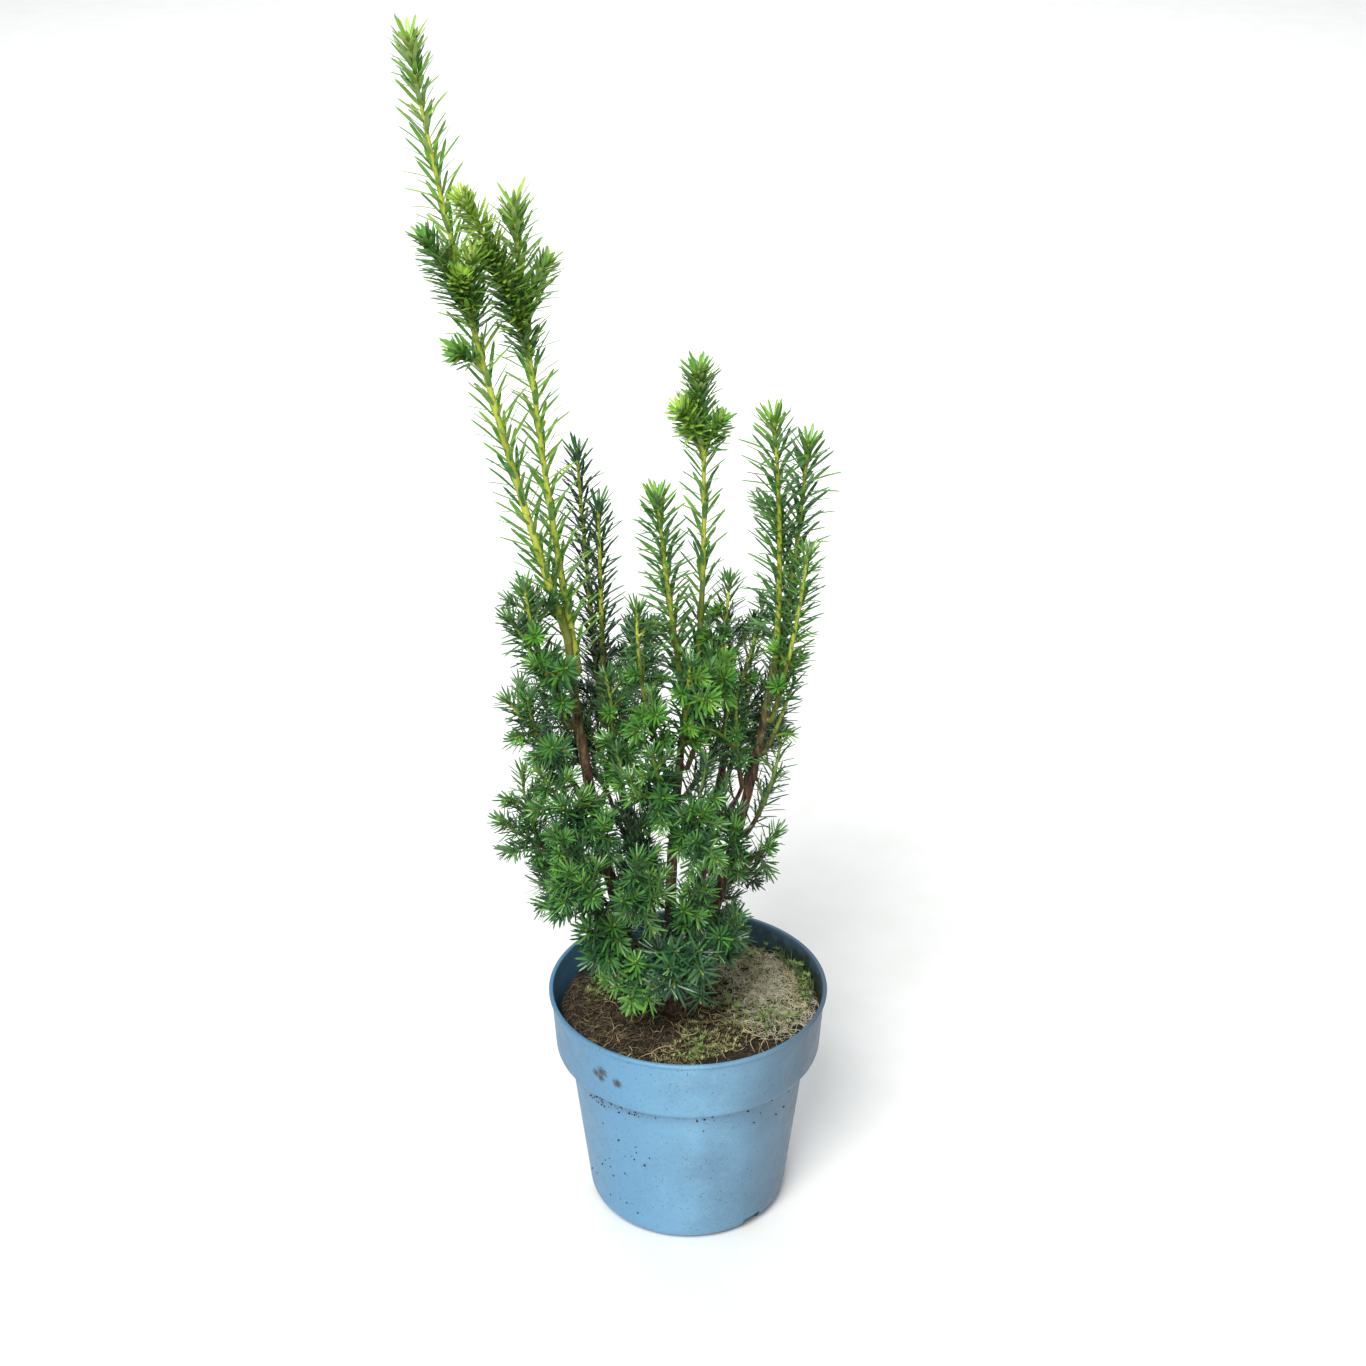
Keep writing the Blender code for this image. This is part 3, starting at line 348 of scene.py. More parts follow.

# %% [markdown]
# The plastic is built up in layers: its colour and weathering first, then haze, painted shade on the left
# and right sides, flecks and marks, and splashed peat and a darker band in the crease last. Each is mixed
# over what is there already.

# %% The plastic, from its weathering to its dirt
def moulded_polypropylene(name, sunny, shaded, algae=None):
    """Light blue polypropylene, weathered between two blues, with algae where it stays damp."""
    # Polypropylene has an index near 1.49; its satin skin scatters a soft, wide highlight
    made, tree, shader, place = new_finish(name, 0.46, 1.49)
    # Weathering of 45 mm, haze of 7 mm, grain of 1.6 mm, cooling waves of 14 mm, and the mould's etched skin,
    # drawn at 0.5 mm, coarser than life so that it shows
    weather, haze, fine, waves, skin = (
        add_node(tree, "TexNoise", {"Scale": 1.0 / (size * MILLIMETRE), "Detail": detail},
                 {"Vector": place}).outputs["Fac"]
        for size, detail in ((45.0, 3.0), (7.0, 4.0), (1.6, 3.0), (14.0, 2.0), (0.5, 2.0)))
    colour = mixed(tree, share_between(tree, weather, 0.35, 0.65), sunny, shaded)
    for pattern, low, high, most, tint in ((haze, 0.50, 0.80, 0.40, "#92B7CC"),
                                           (fine, 0.48, 0.70, 0.30, "#4F7F9E")):
        colour = mixed(tree, share_between(tree, pattern, low, high, {"To Max": most}), colour, tint)
    across = add_node(tree, "SeparateXYZ", {}, {"Vector": place})
    # Painted shade: the left side is darker, in two steps
    for start, full, most, tint in PAINTED_LEFT_SHADE:
        side_shade = share_between(tree, across.outputs["X"], start, full, {"To Max": most})
        colour = mixed(tree, side_shade, colour, tint)
    # Painted shade: the right side, turned from the light, is darker and greyer
    away = add_node(tree, "Math", {"operation": "MULTIPLY_ADD", 1: 0.03},
                    {0: weather, 2: across.outputs["X"]})
    side_shade = share_between(tree, away.outputs["Value"], 0.020, 0.098, {"To Max": 0.90})
    colour = mixed(tree, side_shade, colour, "#3E5364")
    # Flecks just under a millimetre across lie one to a cell, on about half of the cells, with finer ones
    # between
    thick = share_between(tree, weather, 0.40, 0.62, {"To Min": -0.25, "To Max": 0.10})
    for size, radius, chosen, tint in FLECKS:
        cells = add_node(tree, "TexVoronoi", {"Scale": 1.0 / (size * MILLIMETRE)}, {"Vector": place})
        fleck = share_between(tree, cells.outputs["Distance"], radius, 0.5 * radius)
        chance = add_node(tree, "SeparateColor", {}, {"Color": cells.outputs["Color"]}).outputs["Red"]
        drawn = add_node(tree, "Math", {"operation": "ADD"}, {0: chance, 1: thick}).outputs["Value"]
        kept = share_between(tree, drawn, chosen, chosen + 0.02, {"To Max": 0.9})
        fleck = add_node(tree, "Math", {"operation": "MULTIPLY"}, {0: fleck, 1: kept}).outputs["Value"]
        colour = mixed(tree, fleck, colour, tint)
    for spots, reach, strength, tint in MARKS:
        mask = marks(tree, place, spots, fine, reach)
        mask = add_node(tree, "Math", {"operation": "MULTIPLY", 1: strength}, {0: mask}).outputs["Value"]
        colour = mixed(tree, mask, colour, tint)
    # Splashed peat gathers in the crease under the collar at the left, and the crease is darker and greyer all
    # round
    crease = add_node(tree, "Math", {"operation": "SUBTRACT", 1: CREASE_Z}, {0: across.outputs["Z"]})
    crease = add_node(tree, "Math", {"operation": "ABSOLUTE"}, {0: crease.outputs["Value"]}).outputs["Value"]
    crease = share_between(tree, crease, CREASE_EDGE, CREASE_CORE)
    broken = share_between(tree, fine, 0.49, 0.56)
    crease_marks = add_node(tree, "Math", {"operation": "MULTIPLY"}, {0: crease, 1: broken}).outputs["Value"]
    leftward = share_between(tree, across.outputs["X"], -0.018, -0.050)
    splashes = add_node(tree, "Math", {"operation": "MULTIPLY"}, {0: crease_marks, 1: leftward}).outputs["Value"]
    colour = mixed(tree, splashes, colour, "#2C231B")
    # A darker, greyer band all round the crease
    crease_band = add_node(tree, "Math", {"operation": "MULTIPLY", 1: 0.45}, {0: crease_marks}).outputs["Value"]
    colour = mixed(tree, crease_band, colour, "#6E8B9A")
    if algae:
        # Algae grow on the wall for about a centimetre above the damp, mossy side of the peat
        damp = add_node(tree, "Math", {"operation": "MULTIPLY_ADD", 1: 0.030},
                        {0: haze, 2: across.outputs["Z"]}).outputs["Value"]
        mossy_side = share_between(tree, across.outputs["X"], 0.040, 0.072, {"To Max": 0.85})
        mask = add_node(tree, "Math", {"operation": "MULTIPLY"},
                        {0: share_between(tree, damp, 0.181, 0.174), 1: mossy_side}).outputs["Value"]
        colour = mixed(tree, mask, colour, algae)
    tree.links.new(colour, shader.inputs["Base Color"])
    rough = share_between(tree, haze, 0.3, 0.7, {"To Min": 0.40, "To Max": 0.55})
    tree.links.new(rough, shader.inputs["Roughness"])
    height = add_node(tree, "Math", {"operation": "MULTIPLY_ADD", 1: 0.06}, {0: skin, 2: waves})
    bumped(tree, shader, height.outputs["Value"], 0.5 * MILLIMETRE, 0.5)
    return made


outside_plastic = moulded_polypropylene("polypropylene_outside", "#77AACC", "#6C99B9")
# The inside is darker and greyer than the outside: partly damp peat on the wall, partly painted shade of the
# inner wall
inside_plastic = moulded_polypropylene("polypropylene_damp_inside", "#628A96", "#4E707A", "#2B3826")
print("pot finishes:", outside_plastic.name, inside_plastic.name)

# %% [markdown]
# ## The pot's shape
# A nursery pot is a thin shell of revolution: a floor, a tapering body, a neck, and a tall collar that
# widens to a rolled rim, so that pots stack and don't jam. The collar stiffens it, and the notches in its
# lower edge let water out. The same section as in the frame, with rounded corners, is turned in 144 steps,
# and hidden boxes and rods cut the notches and drain holes.

# %% The turned shell with its notches and drains
POT_HEIGHT, RIM_RADIUS, RIM_ROLL, RIM_BAND = 0.168, 0.095, 0.0014, 0.0031
COLLAR_TOP_RADIUS, COLLAR_FOOT_RADIUS, COLLAR_FOOT_Z = 0.0932, 0.0902, 0.1235
NECK_RADIUS, NECK_Z, BASE_RADIUS, BASE_CORNER, WALL, FLOOR = 0.0805, 0.1175, 0.0680, 0.0065, 0.0015, 0.0022
NOTCH_TURNS, NOTCH_SIZE = (-49.0, 71.0, 191.0), (0.0143, 0.015, 0.0200)
DRAIN_COUNT, DRAIN_RADIUS, DRAIN_RING = 4, 0.0045, 0.038


def rounded(section, steps=6):
    """A section whose corners, given as (radius, height, rounding), become short curves."""
    points = []
    for index, (across, up, rounding) in enumerate(section):
        corner = np.array((across, up))
        if rounding == 0.0 or index in (0, len(section) - 1):
            points.append(corner)
            continue
        before, after = np.array(section[index - 1][:2]), np.array(section[index + 1][:2])
        start, end = (corner + unit(other - corner) * min(rounding, 0.48 * np.linalg.norm(other - corner))
                      for other in (before, after))
        for share in np.linspace(0.0, 1.0, steps):
            points.append((1 - share) ** 2 * start + 2 * share * (1 - share) * corner + share ** 2 * end)
    return points


def hidden_cutter(pot, name, build, place, turn):
    """A hidden shape that a Boolean takes out of the pot."""
    mesh = bpy.data.meshes.new(name)
    shape = bmesh.new()
    build(shape)
    shape.to_mesh(mesh)
    shape.free()
    cutter = placed(name, mesh)
    cutter.location = place
    cutter.rotation_euler = (0.0, 0.0, turn)
    step = pot.modifiers.new(name, "BOOLEAN")
    step.object = cutter
    return cutter


def notch_shape(shape):
    """A box with softened edges."""
    bmesh.ops.create_cube(shape, size=1.0)
    bmesh.ops.scale(shape, vec=NOTCH_SIZE, verts=shape.verts)
    bmesh.ops.bevel(shape, geom=shape.edges[:], offset=0.0016, segments=3, affect="EDGES", profile=0.5)


def drain_shape(shape):
    """An upright rod."""
    bmesh.ops.create_cone(shape, cap_ends=True, segments=28, radius1=DRAIN_RADIUS, radius2=DRAIN_RADIUS,
                          depth=0.01)

# %% [markdown]
# A screw modifier turns the section, much as the mould itself was turned, and Booleans cut the openings.
# The modifiers are then made into plain mesh, so that inside and outside can each have their own finish.

# %% The section, turned and cut
section = [(0.0, FLOOR, 0.0), (BASE_RADIUS - BASE_CORNER, FLOOR, 0.004),
           (BASE_RADIUS - WALL, BASE_CORNER + WALL, 0.003),
           (NECK_RADIUS - WALL, NECK_Z + WALL, 0.003),
           (COLLAR_FOOT_RADIUS - WALL, COLLAR_FOOT_Z + WALL, 0.003),
           (COLLAR_TOP_RADIUS - WALL, POT_HEIGHT - RIM_BAND, 0.0015),
           (RIM_RADIUS - 2.1 * RIM_ROLL, POT_HEIGHT, 0.0011), (RIM_RADIUS, POT_HEIGHT, 0.0012),
           (RIM_RADIUS - 0.1 * RIM_ROLL, POT_HEIGHT - RIM_BAND + 0.0005, 0.0011),
           (COLLAR_TOP_RADIUS, POT_HEIGHT - RIM_BAND, 0.0006),
           (COLLAR_FOOT_RADIUS + 0.0002, COLLAR_FOOT_Z - 0.0006, 0.0036),
           (NECK_RADIUS + 0.0006, NECK_Z - 0.0004, 0.0012),
           (BASE_RADIUS, BASE_CORNER, 0.006), (BASE_RADIUS - BASE_CORNER, 0.0, 0.0035), (0.0, 0.0, 0.0)]
mesh = bpy.data.meshes.new("pot_shell")
shape = bmesh.new()
corners = [shape.verts.new((across, 0.0, up)) for across, up in rounded(section)]
for lower, upper in zip(corners, corners[1:]):
    shape.edges.new((lower, upper))
shape.to_mesh(mesh)
shape.free()
pot = placed("pot_shell", mesh)
turning = pot.modifiers.new("turn", "SCREW")
turning.steps = turning.render_steps = 144
turning.use_merge_vertices = True
turning.merge_threshold = 0.00001
turning.use_normal_calculate = True
cutters = []
for turn in map(math.radians, NOTCH_TURNS):
    foot = (BASE_RADIUS * math.cos(turn), BASE_RADIUS * math.sin(turn), 0.0)
    cutters.append(hidden_cutter(pot, f"notch_{len(cutters)}", notch_shape, foot, turn))
for turn in (2.0 * math.pi * index / DRAIN_COUNT for index in range(DRAIN_COUNT)):
    centre = (DRAIN_RING * math.cos(turn), DRAIN_RING * math.sin(turn), 0.0)
    cutters.append(hidden_cutter(pot, f"drain_{len(cutters)}", drain_shape, centre, 0.0))
applied(pot)
for cutter in cutters:
    bpy.data.objects.remove(cutter, do_unlink=True)
pot.data.materials.append(outside_plastic)
pot.data.materials.append(inside_plastic)
for face in pot.data.polygons:
    outward = face.center.x * face.normal.x + face.center.y * face.normal.y
    inner_wall = outward < 0.0 and face.center.z < POT_HEIGHT - RIM_BAND
    floor_top = face.normal.z > 0.9 and face.center.z < 0.01
    face.material_index = 1 if inner_wall or floor_top else 0
pot.data.shade_smooth()
pot.data.set_sharp_from_angle(angle=math.radians(38.0))
settled(pot, ["pot"])

# %% [markdown]
# ## The peat
# The filling is dark, fibrous peat that has settled a little and shrunk from the wall at the left, which
# leaves a black gap inside the rim there. A flat disc would look like a lid, so its top is a fine polar grid
# raised by three sizes of noise: clods of 14 mm, lumps of 5 mm and crumbs of 2 mm. One function gives the
# height anywhere, and everything that lies on the peat uses it too.

# %% The filling, with its uneven top
SOIL_PROFILE = ((0.0, 0.022, 0.045, 0.068, 0.0918), (0.1562, 0.1562, 0.1552, 0.1530, 0.1495))
SOIL_OCTAVES = ((0.014, 0.0026), (0.005, 0.0013), (0.0020, 0.0007))
SOIL_FLOOR_WALL = ((0.0876, 0.1252), (0.0780, 0.1192), (0.0655, 0.0082), (0.0610, 0.0027))
SOIL_RINGS, SOIL_SPOKES, SOIL_RADIUS, RING_CROWDING = 78, 224, 0.0912, 0.8
# The peat shrank from the wall by these gaps, most towards this side, in degrees, and drops at its edge
LEAST_GAP, MORE_GAP, GAP_SIDE = 0.0006, 0.0040, 205.0
EDGE_START, EDGE_WIDTH, EDGE_DROP = 0.080, 0.011, 0.0010


def wall_gap(turn):
    """How far the peat has shrunk from the wall: most at the front left."""
    away = math.cos(turn - math.radians(GAP_SIDE))
    return LEAST_GAP + MORE_GAP * max(0.0, away) ** 0.7


def soil_height(x, y):
    """The height of the peat's top."""
    across = math.hypot(x, y)
    height = float(np.interp(across, *SOIL_PROFILE))
    for size, relief in SOIL_OCTAVES:
        height += relief * noise.noise(Vector((x / size, y / size, 3.7)))
    near_wall = min(1.0, max(0.0, (across - EDGE_START) / EDGE_WIDTH))
    return height - near_wall ** 2 * (EDGE_DROP + 1.1 * wall_gap(math.atan2(y, x)))


points = [(0.0, 0.0, soil_height(0.0, 0.0))] * SOIL_SPOKES
turns = [2.0 * math.pi * index / SOIL_SPOKES for index in range(SOIL_SPOKES)]
for ring in range(1, SOIL_RINGS + 1):
    for turn in turns:
        across = (SOIL_RADIUS - wall_gap(turn)) * (ring / SOIL_RINGS) ** RING_CROWDING
        x, y = across * math.cos(turn), across * math.sin(turn)
        points.append((x, y, soil_height(x, y)))
for across, up in ((0.0885, 0.1400),) + SOIL_FLOOR_WALL + ((0.0001, 0.0027),):
    for turn in turns:
        drawn_in = across - wall_gap(turn) * (up > 0.13)
        points.append((drawn_in * math.cos(turn), drawn_in * math.sin(turn), up))

# %% [markdown]
# Peat could be one brown, but it is a mixture of dark mould, paler fibres and almost black damp spots. Two
# noises, of 9 mm for clods and 1.5 mm for crumbs, mix four browns, and the finer one raises the relief.

# %% The peat's finish
# Sphagnum peat is matt and dark brown, almost black where it is damp, with redder fibres in it
peat, tree, shader, place = new_finish("sphagnum_peat", 0.92, 1.45)
clods, crumbs = (
    add_node(tree, "TexNoise", {"Scale": 1.0 / (size * MILLIMETRE), "Detail": detail},
             {"Vector": place}).outputs["Fac"]
    for size, detail in ((9.0, 6.0), (1.5, 4.0)))
colour = mixed(tree, share_between(tree, clods, 0.35, 0.65), "#1A1610", "#3A3126")
for low, high, most, tint in ((0.52, 0.70, 0.7, "#7E7058"), (0.46, 0.32, 0.8, "#14110B")):
    colour = mixed(tree, share_between(tree, crumbs, low, high, {"To Max": most}), colour, tint)
tree.links.new(colour, shader.inputs["Base Color"])
bumped(tree, shader, crumbs, 1.2 * MILLIMETRE)
faces = strip(SOIL_RINGS + 7, SOIL_SPOKES)[:, ::-1]
new_piece("peat_filling", np.array(points), faces, [peat], "peat", ["soil"])

# %% [markdown]
# ## What lies on the peat
# Years of small litter cover the peat: brown root fibres at the left and front, a mat of pale grey dead grass
# at the right, and a few straws. Each is a thin three-sided tube that follows the peat's height and
# lifts off it a little. Thousands of them join into one mesh for each kind. The thinnest are drawn 0.3 mm
# thick, coarser than life, so that they show.

# %% Fibres, dead grass and straws
# Dry plant fibre is matt cellulose with an index near 1.47: patch size in millimetres, roughness and index
DRY_FIBRE, FIBRE_RINGS = (6.0, 0.85, 1.47), 6
# Litter starts inside the first radius, less the gap at the wall, and is held inside the second
LITTER_RADIUS, HOLD_RADIUS = 0.0885, 0.0895


def in_patch(dice, patch, crowding=0.5):
    """A random place in an oval patch (x, y, half width, half depth), inside the pot's wall."""
    while True:
        across, turn = dice.random() ** crowding, dice.uniform(0.0, 2.0 * math.pi)
        x = patch[0] + patch[2] * across * math.cos(turn)
        y = patch[1] + patch[3] * across * math.sin(turn)
        if math.hypot(x, y) < LITTER_RADIUS - wall_gap(math.atan2(y, x)):
            return x, y


def lying_fibre(dice, x, y, length, lift, thick, heading=None):
    """A bent fibre that follows the peat and stands off it by up to lift."""
    heading = dice.uniform(0.0, 2.0 * math.pi) if heading is None else heading
    bend = dice.uniform(-1.0, 1.0) * 1.6
    path = []
    for share in np.linspace(-0.5, 0.5, FIBRE_RINGS):
        turn = heading + bend * share
        px, py = x + length * share * math.cos(turn), y + length * share * math.sin(turn)
        hold = min(1.0, HOLD_RADIUS / max(math.hypot(px, py), 0.001))
        px, py = px * hold, py * hold
        path.append((px, py, soil_height(px, py) + 0.0003 + lift * dice.uniform(0.1, 1.0)))
    radii = [thick * (0.55 + 1.8 * share * (1.0 - share)) for share in np.linspace(0.0, 1.0, FIBRE_RINGS)]
    return sweep(path, radii, 3)


# Name, dark and light colour, count, patch with its crowding, least and greatest length, lift and thickness
FIBRES = (
    ("root_fibres", "#201B12", "#463E2B", 1000,
     (-0.005, -0.005, 0.088, 0.088), 0.5, (0.008, 0.022), 0.0016, 0.00022),
    ("brown_litter", "#5C5139", "#94835E", 620,
     (-0.030, -0.020, 0.062, 0.068), 0.5, (0.008, 0.022), 0.0026, 0.00019),
    ("dead_grass", "#B4AC96", "#E4DDC8", 900,
     (0.058, 0.012, 0.036, 0.060), 0.72, (0.007, 0.018), 0.0034, 0.00020),
    ("straws", "#B9A274", "#DCCB9E", 90,
     (0.010, -0.015, 0.076, 0.068), 0.5, (0.010, 0.024), 0.0042, 0.00024),
)
# Two long straws: place, length, lift, thickness and heading in degrees
LONG_STRAWS = ((-0.0618, 0.0420, 0.026, 0.0022, 0.0006, 49.0), (0.0420, -0.0490, 0.024, 0.0050, 0.0004, 70.0))
dice = random.Random(23)
for name, dark, light, count, patch, crowding, lengths, lift, thick in FIBRES:
    rows = []
    for _ in range(count):
        x, y = in_patch(dice, patch, crowding)
        rows.append(lying_fibre(dice, x, y, dice.uniform(*lengths), lift, thick * dice.uniform(0.8, 1.5)))
    if name == "straws":
        rows += [lying_fibre(dice, *values, math.radians(heading)) for *values, heading in LONG_STRAWS]
    new_piece(name, *joined(rows), [two_tone(name, dark, light, *DRY_FIBRE)], "peat")

# %% [markdown]
# Crumbs of one to three millimetres lie loose on the peat, and rain has splashed some against the pot, half of
# them under its collar at the left. Each is an octahedron with its corners moved about, which reads as a lump
# at this size.

# %% Crumbs of peat, loose in the pot and stuck under its collar
def crumb(dice, place, size):
    """A small lump: an octahedron with its corners moved about."""
    corners = np.array(((1, 0, 0), (-1, 0, 0), (0, 1, 0), (0, -1, 0), (0, 0, 1), (0, 0, -1)), float)
    jitter = np.array([[dice.uniform(0.55, 1.25) for _ in range(3)] for _ in corners])
    faces = np.array(((0, 2, 4), (2, 1, 4), (1, 3, 4), (3, 0, 4), (2, 0, 5), (1, 2, 5), (3, 1, 5), (0, 3, 5)))
    return np.asarray(place) + corners * jitter * size, faces


CRUMBS, CRUMB_PATCH = 1100, (-0.008, -0.010, 0.086, 0.084)
# Crumbs stuck to the pot: middle and spread of their turn in degrees, count, least and greatest height
STUCK = ((-137.0, 9.0, 26, 0.1068, 0.1150), (-118.0, 10.0, 12, 0.1105, 0.1160),
         (-83.0, 9.0, 7, 0.1125, 0.1160), (-60.0, 20.0, 8, 0.0950, 0.1140),
         (-130.0, 26.0, 22, 0.0150, 0.1000))
BODY_SLOPE = (NECK_RADIUS + 0.0006 - BASE_RADIUS) / (NECK_Z - BASE_CORNER)
rows = []
for _ in range(CRUMBS):
    x, y = in_patch(dice, CRUMB_PATCH)
    size = dice.uniform(0.0004, 0.0015)
    rows.append(crumb(dice, (x, y, soil_height(x, y) + 0.4 * size), size))
for middle, spread, count, low, high in STUCK:
    for _ in range(count):
        turn, up = math.radians(dice.gauss(middle, 0.5 * spread)), dice.uniform(low, high)
        across = BASE_RADIUS + BODY_SLOPE * (up - BASE_CORNER) + 0.0001
        size = dice.uniform(0.00045, 0.00120)
        rows.append(crumb(dice, (across * math.cos(turn), across * math.sin(turn), up), size))
crumbling_peat = two_tone("peat_crumb", "#20160F", "#4E392A", 2.0, 0.92, 1.47)
new_piece("peat_crumbs", *joined(rows), [crumbling_peat], "peat", sharp=30.0)
print("crumbs stuck to the pot:", len(rows) - CRUMBS)

# %% [markdown]
# ## Moss and seedlings
# Moss and small weeds have settled on the damp right half. A moss plant is a star of pointed leaves two or
# three millimetres long, so the carpet is thousands of kite-shaped blades in three yellow-greens. A seedling
# is a few leaves of 2 to 5 mm on a short stalk.

# %% Kite-shaped leaves
def blade(root, along_leaf, up, length, width, fold):
    """A leaf of two faces on each side of its rib: root, two shoulders, tip and a raised middle."""
    side = unit(np.cross(along_leaf, up))
    middle = root + along_leaf * (0.5 * length) - up * fold
    shoulders = [root + along_leaf * (0.42 * length) + side * (way * width) for way in (-0.5, 0.5)]
    points = np.array((root, shoulders[0], middle, shoulders[1], root + along_leaf * length))
    return points, np.array(((0, 2, 1), (0, 3, 2), (1, 2, 4), (3, 4, 2)))


def leaf_star(dice, place, count, length, width, rise):
    """Leaves round one point, each rising by about the same angle."""
    first = dice.uniform(0.0, 2.0 * math.pi)
    leaves = []
    for index in range(count):
        turn = first + 2.0 * math.pi * index / count + dice.uniform(-0.3, 0.3)
        climb = rise + dice.uniform(-0.25, 0.25)
        flat = np.array((math.cos(turn), math.sin(turn), 0.0))
        ahead = flat * math.cos(climb) + np.array((0.0, 0.0, math.sin(climb)))
        up = np.array((0.0, 0.0, math.cos(climb))) - flat * math.sin(climb)
        size = length * dice.uniform(0.7, 1.2)
        leaves.append(blade(np.asarray(place), ahead, up, size, width * size, 0.08 * size))
    return leaves


# A small living leaf has a thin waxy skin with an index near 1.43: patch size, roughness and index
WAXY_LEAF = (5.0, 0.52, 1.43)
MOSS_PATCHES = ((0.048, 0.012, 0.036, 0.054, 760), (0.018, -0.044, 0.022, 0.020, 150),
                (0.078, 0.030, 0.010, 0.030, 90), (-0.060, 0.012, 0.012, 0.014, 40),
                (-0.006, -0.062, 0.022, 0.012, 60))
MOSS_TINTS = (("moss_olive", "#747848", "#989B68"), ("moss_yellow", "#A19E68", "#C5C18E"),
              ("moss_green", "#5F7540", "#899B5A"))
kinds = [[] for _ in MOSS_TINTS]
for *patch, count in MOSS_PATCHES:
    for _ in range(count):
        x, y = in_patch(dice, patch)
        place = (x, y, soil_height(x, y) + dice.uniform(0.0002, 0.0022))
        kinds[dice.choice((0, 0, 0, 1, 1, 2))] += leaf_star(dice, place, 5, 0.0030, 0.26, 0.70)
for (name, dark, light), rows in zip(MOSS_TINTS, kinds):
    new_piece(name, *joined(rows), [two_tone(name, dark, light, *WAXY_LEAF)], "foliage")

# Seedlings stand in small groups: place and count
WEED_PLACES = ((0.0839, 0.0407, 7), (0.0862, 0.0161, 7), (0.0487, -0.0255, 9), (0.0080, -0.0542, 6),
               (0.0013, -0.0654, 7), (-0.0608, 0.0161, 6), (0.0435, 0.0469, 5), (0.0286, -0.0138, 5),
               (0.0702, -0.0250, 5), (0.060, 0.060, 4))
SEEDLING_REACH = ((-0.003, 0.003), (-0.003, 0.003), (0.003, 0.009))
leaves, stalks = [], []
for x, y, count in WEED_PLACES:
    for _ in range(count):
        px, py = in_patch(dice, (x, y, 0.010, 0.011))
        foot = np.array((px, py, soil_height(px, py)))
        head = foot + np.array([dice.uniform(low, high) for low, high in SEEDLING_REACH])
        stalks.append(sweep([foot, 0.5 * (foot + head), head], [0.0003, 0.00025, 0.0002], 3))
        leaves += leaf_star(dice, head, dice.choice((4, 5, 6)), dice.uniform(0.0026, 0.0046), 0.40, 0.45)
# Thin grass has seeded itself along the wall at the right
GRASS_PLACES = ((0.0835, 0.0300, 26), (0.0860, 0.0060, 16), (0.0720, 0.0520, 12), (0.0560, -0.0300, 8),
                (-0.0590, 0.0180, 8))
grass = []
for x, y, count in GRASS_PLACES:
    for _ in range(count):
        px, py = in_patch(dice, (x, y, 0.007, 0.016))
        foot = np.array((px, py, soil_height(px, py)))
        lean = np.array((dice.uniform(-1.0, 0.3), dice.uniform(-0.7, 0.7), 0.0))
        height = dice.uniform(0.006, 0.014)
        path = [foot + np.array((0.0, 0.0, height * share)) + lean * (0.8 * height * share ** 2)
                for share in (0.0, 0.35, 0.7, 1.0)]
        grass.append(sweep(path, [0.0005, 0.00055, 0.0004, 0.00005], 3))
for name, rows, skin, dark, light in (("grass_blades", grass, "grass_blade", "#3E572B", "#6E8348"),
                                      ("seedling_leaves", leaves, "seedling_leaf", "#587538", "#879C58"),
                                      ("seedling_stalks", stalks, "seedling_stalk", "#6F8A45", "#9AA85E")):
    new_piece(name, *joined(rows), [two_tone(skin, dark, light, *WAXY_LEAF)], "foliage")

# %% [markdown]
# ## The rule the plant grows by
# The frame's foliage masses came from a seeded rule, and the fine foliage has to grow in the same places, so
# the rule is written again here with the same values and the same order of dice. A trunk forks into five
# arms; each carries a stem; stems carry boughs; and each mass is one leading shoot with side shoots.

# %% Values of the growth rule
SEED, GAP = 27, 0.0003
SOIL_CROWN_Z = 0.156
TRUNK_PLACE, TRUNK_HEIGHT = Vector((-0.008, -0.003, 0.0)), 0.026
FLARE_RADIUS, TRUNK_RADIUS, TRUNK_TOP_RADIUS = 0.0175, 0.0100, 0.0080
ARM_FOOT_HEIGHT, ARM_FLARE, ARM_BOW = 0.014, 1.25, 0.25
NEEDLE_STEP, BARE_FOOT, KNEE = 0.0078, 0.007, 0.0025
SHOOT_CLEAR, POT_CLEAR = 0.009, 0.003
TWIG_RADIUS, TWIG_TIP_RADIUS, TWIG_LENGTH, TWIG_SIZES = 0.0013, 0.0007, 0.050, (0.8, 1.15)
TWIG_SHORTENING, TWIG_LEAN, GOLDEN_TURN, TWIG_TRIES = 0.37, 42.0, 137.5, 6
TWIG_FIRST_SHARE, TWIG_SHARE_SPAN, TWIG_BOW = 0.16, 0.5, 0.004
OUTER_SHARE, AIMED_BOW = 0.25, 0.12


class Limb(NamedTuple):
    """A tapering limb: where it starts, where it ends and how far its middle stands off a straight line."""

    name: str
    carrier: str
    share: float
    foot: tuple
    tip: tuple
    bow: tuple
    foot_radius: float
    tip_radius: float


class Mass(NamedTuple):
    """A foliage mass: the limb that carries it, its main shoot, and its side shoots."""

    name: str
    limb: str
    share: float
    out: tuple
    tip: tuple
    bow: tuple
    radius: float
    aimed: tuple
    by_rule: int

# %% [markdown]
# Each limb and each foliage mass is a row, placed as the photograph shows it or, at the back, as such a plant
# grows. A tip is a place in metres, and a bow says how far the middle stands off a straight line.

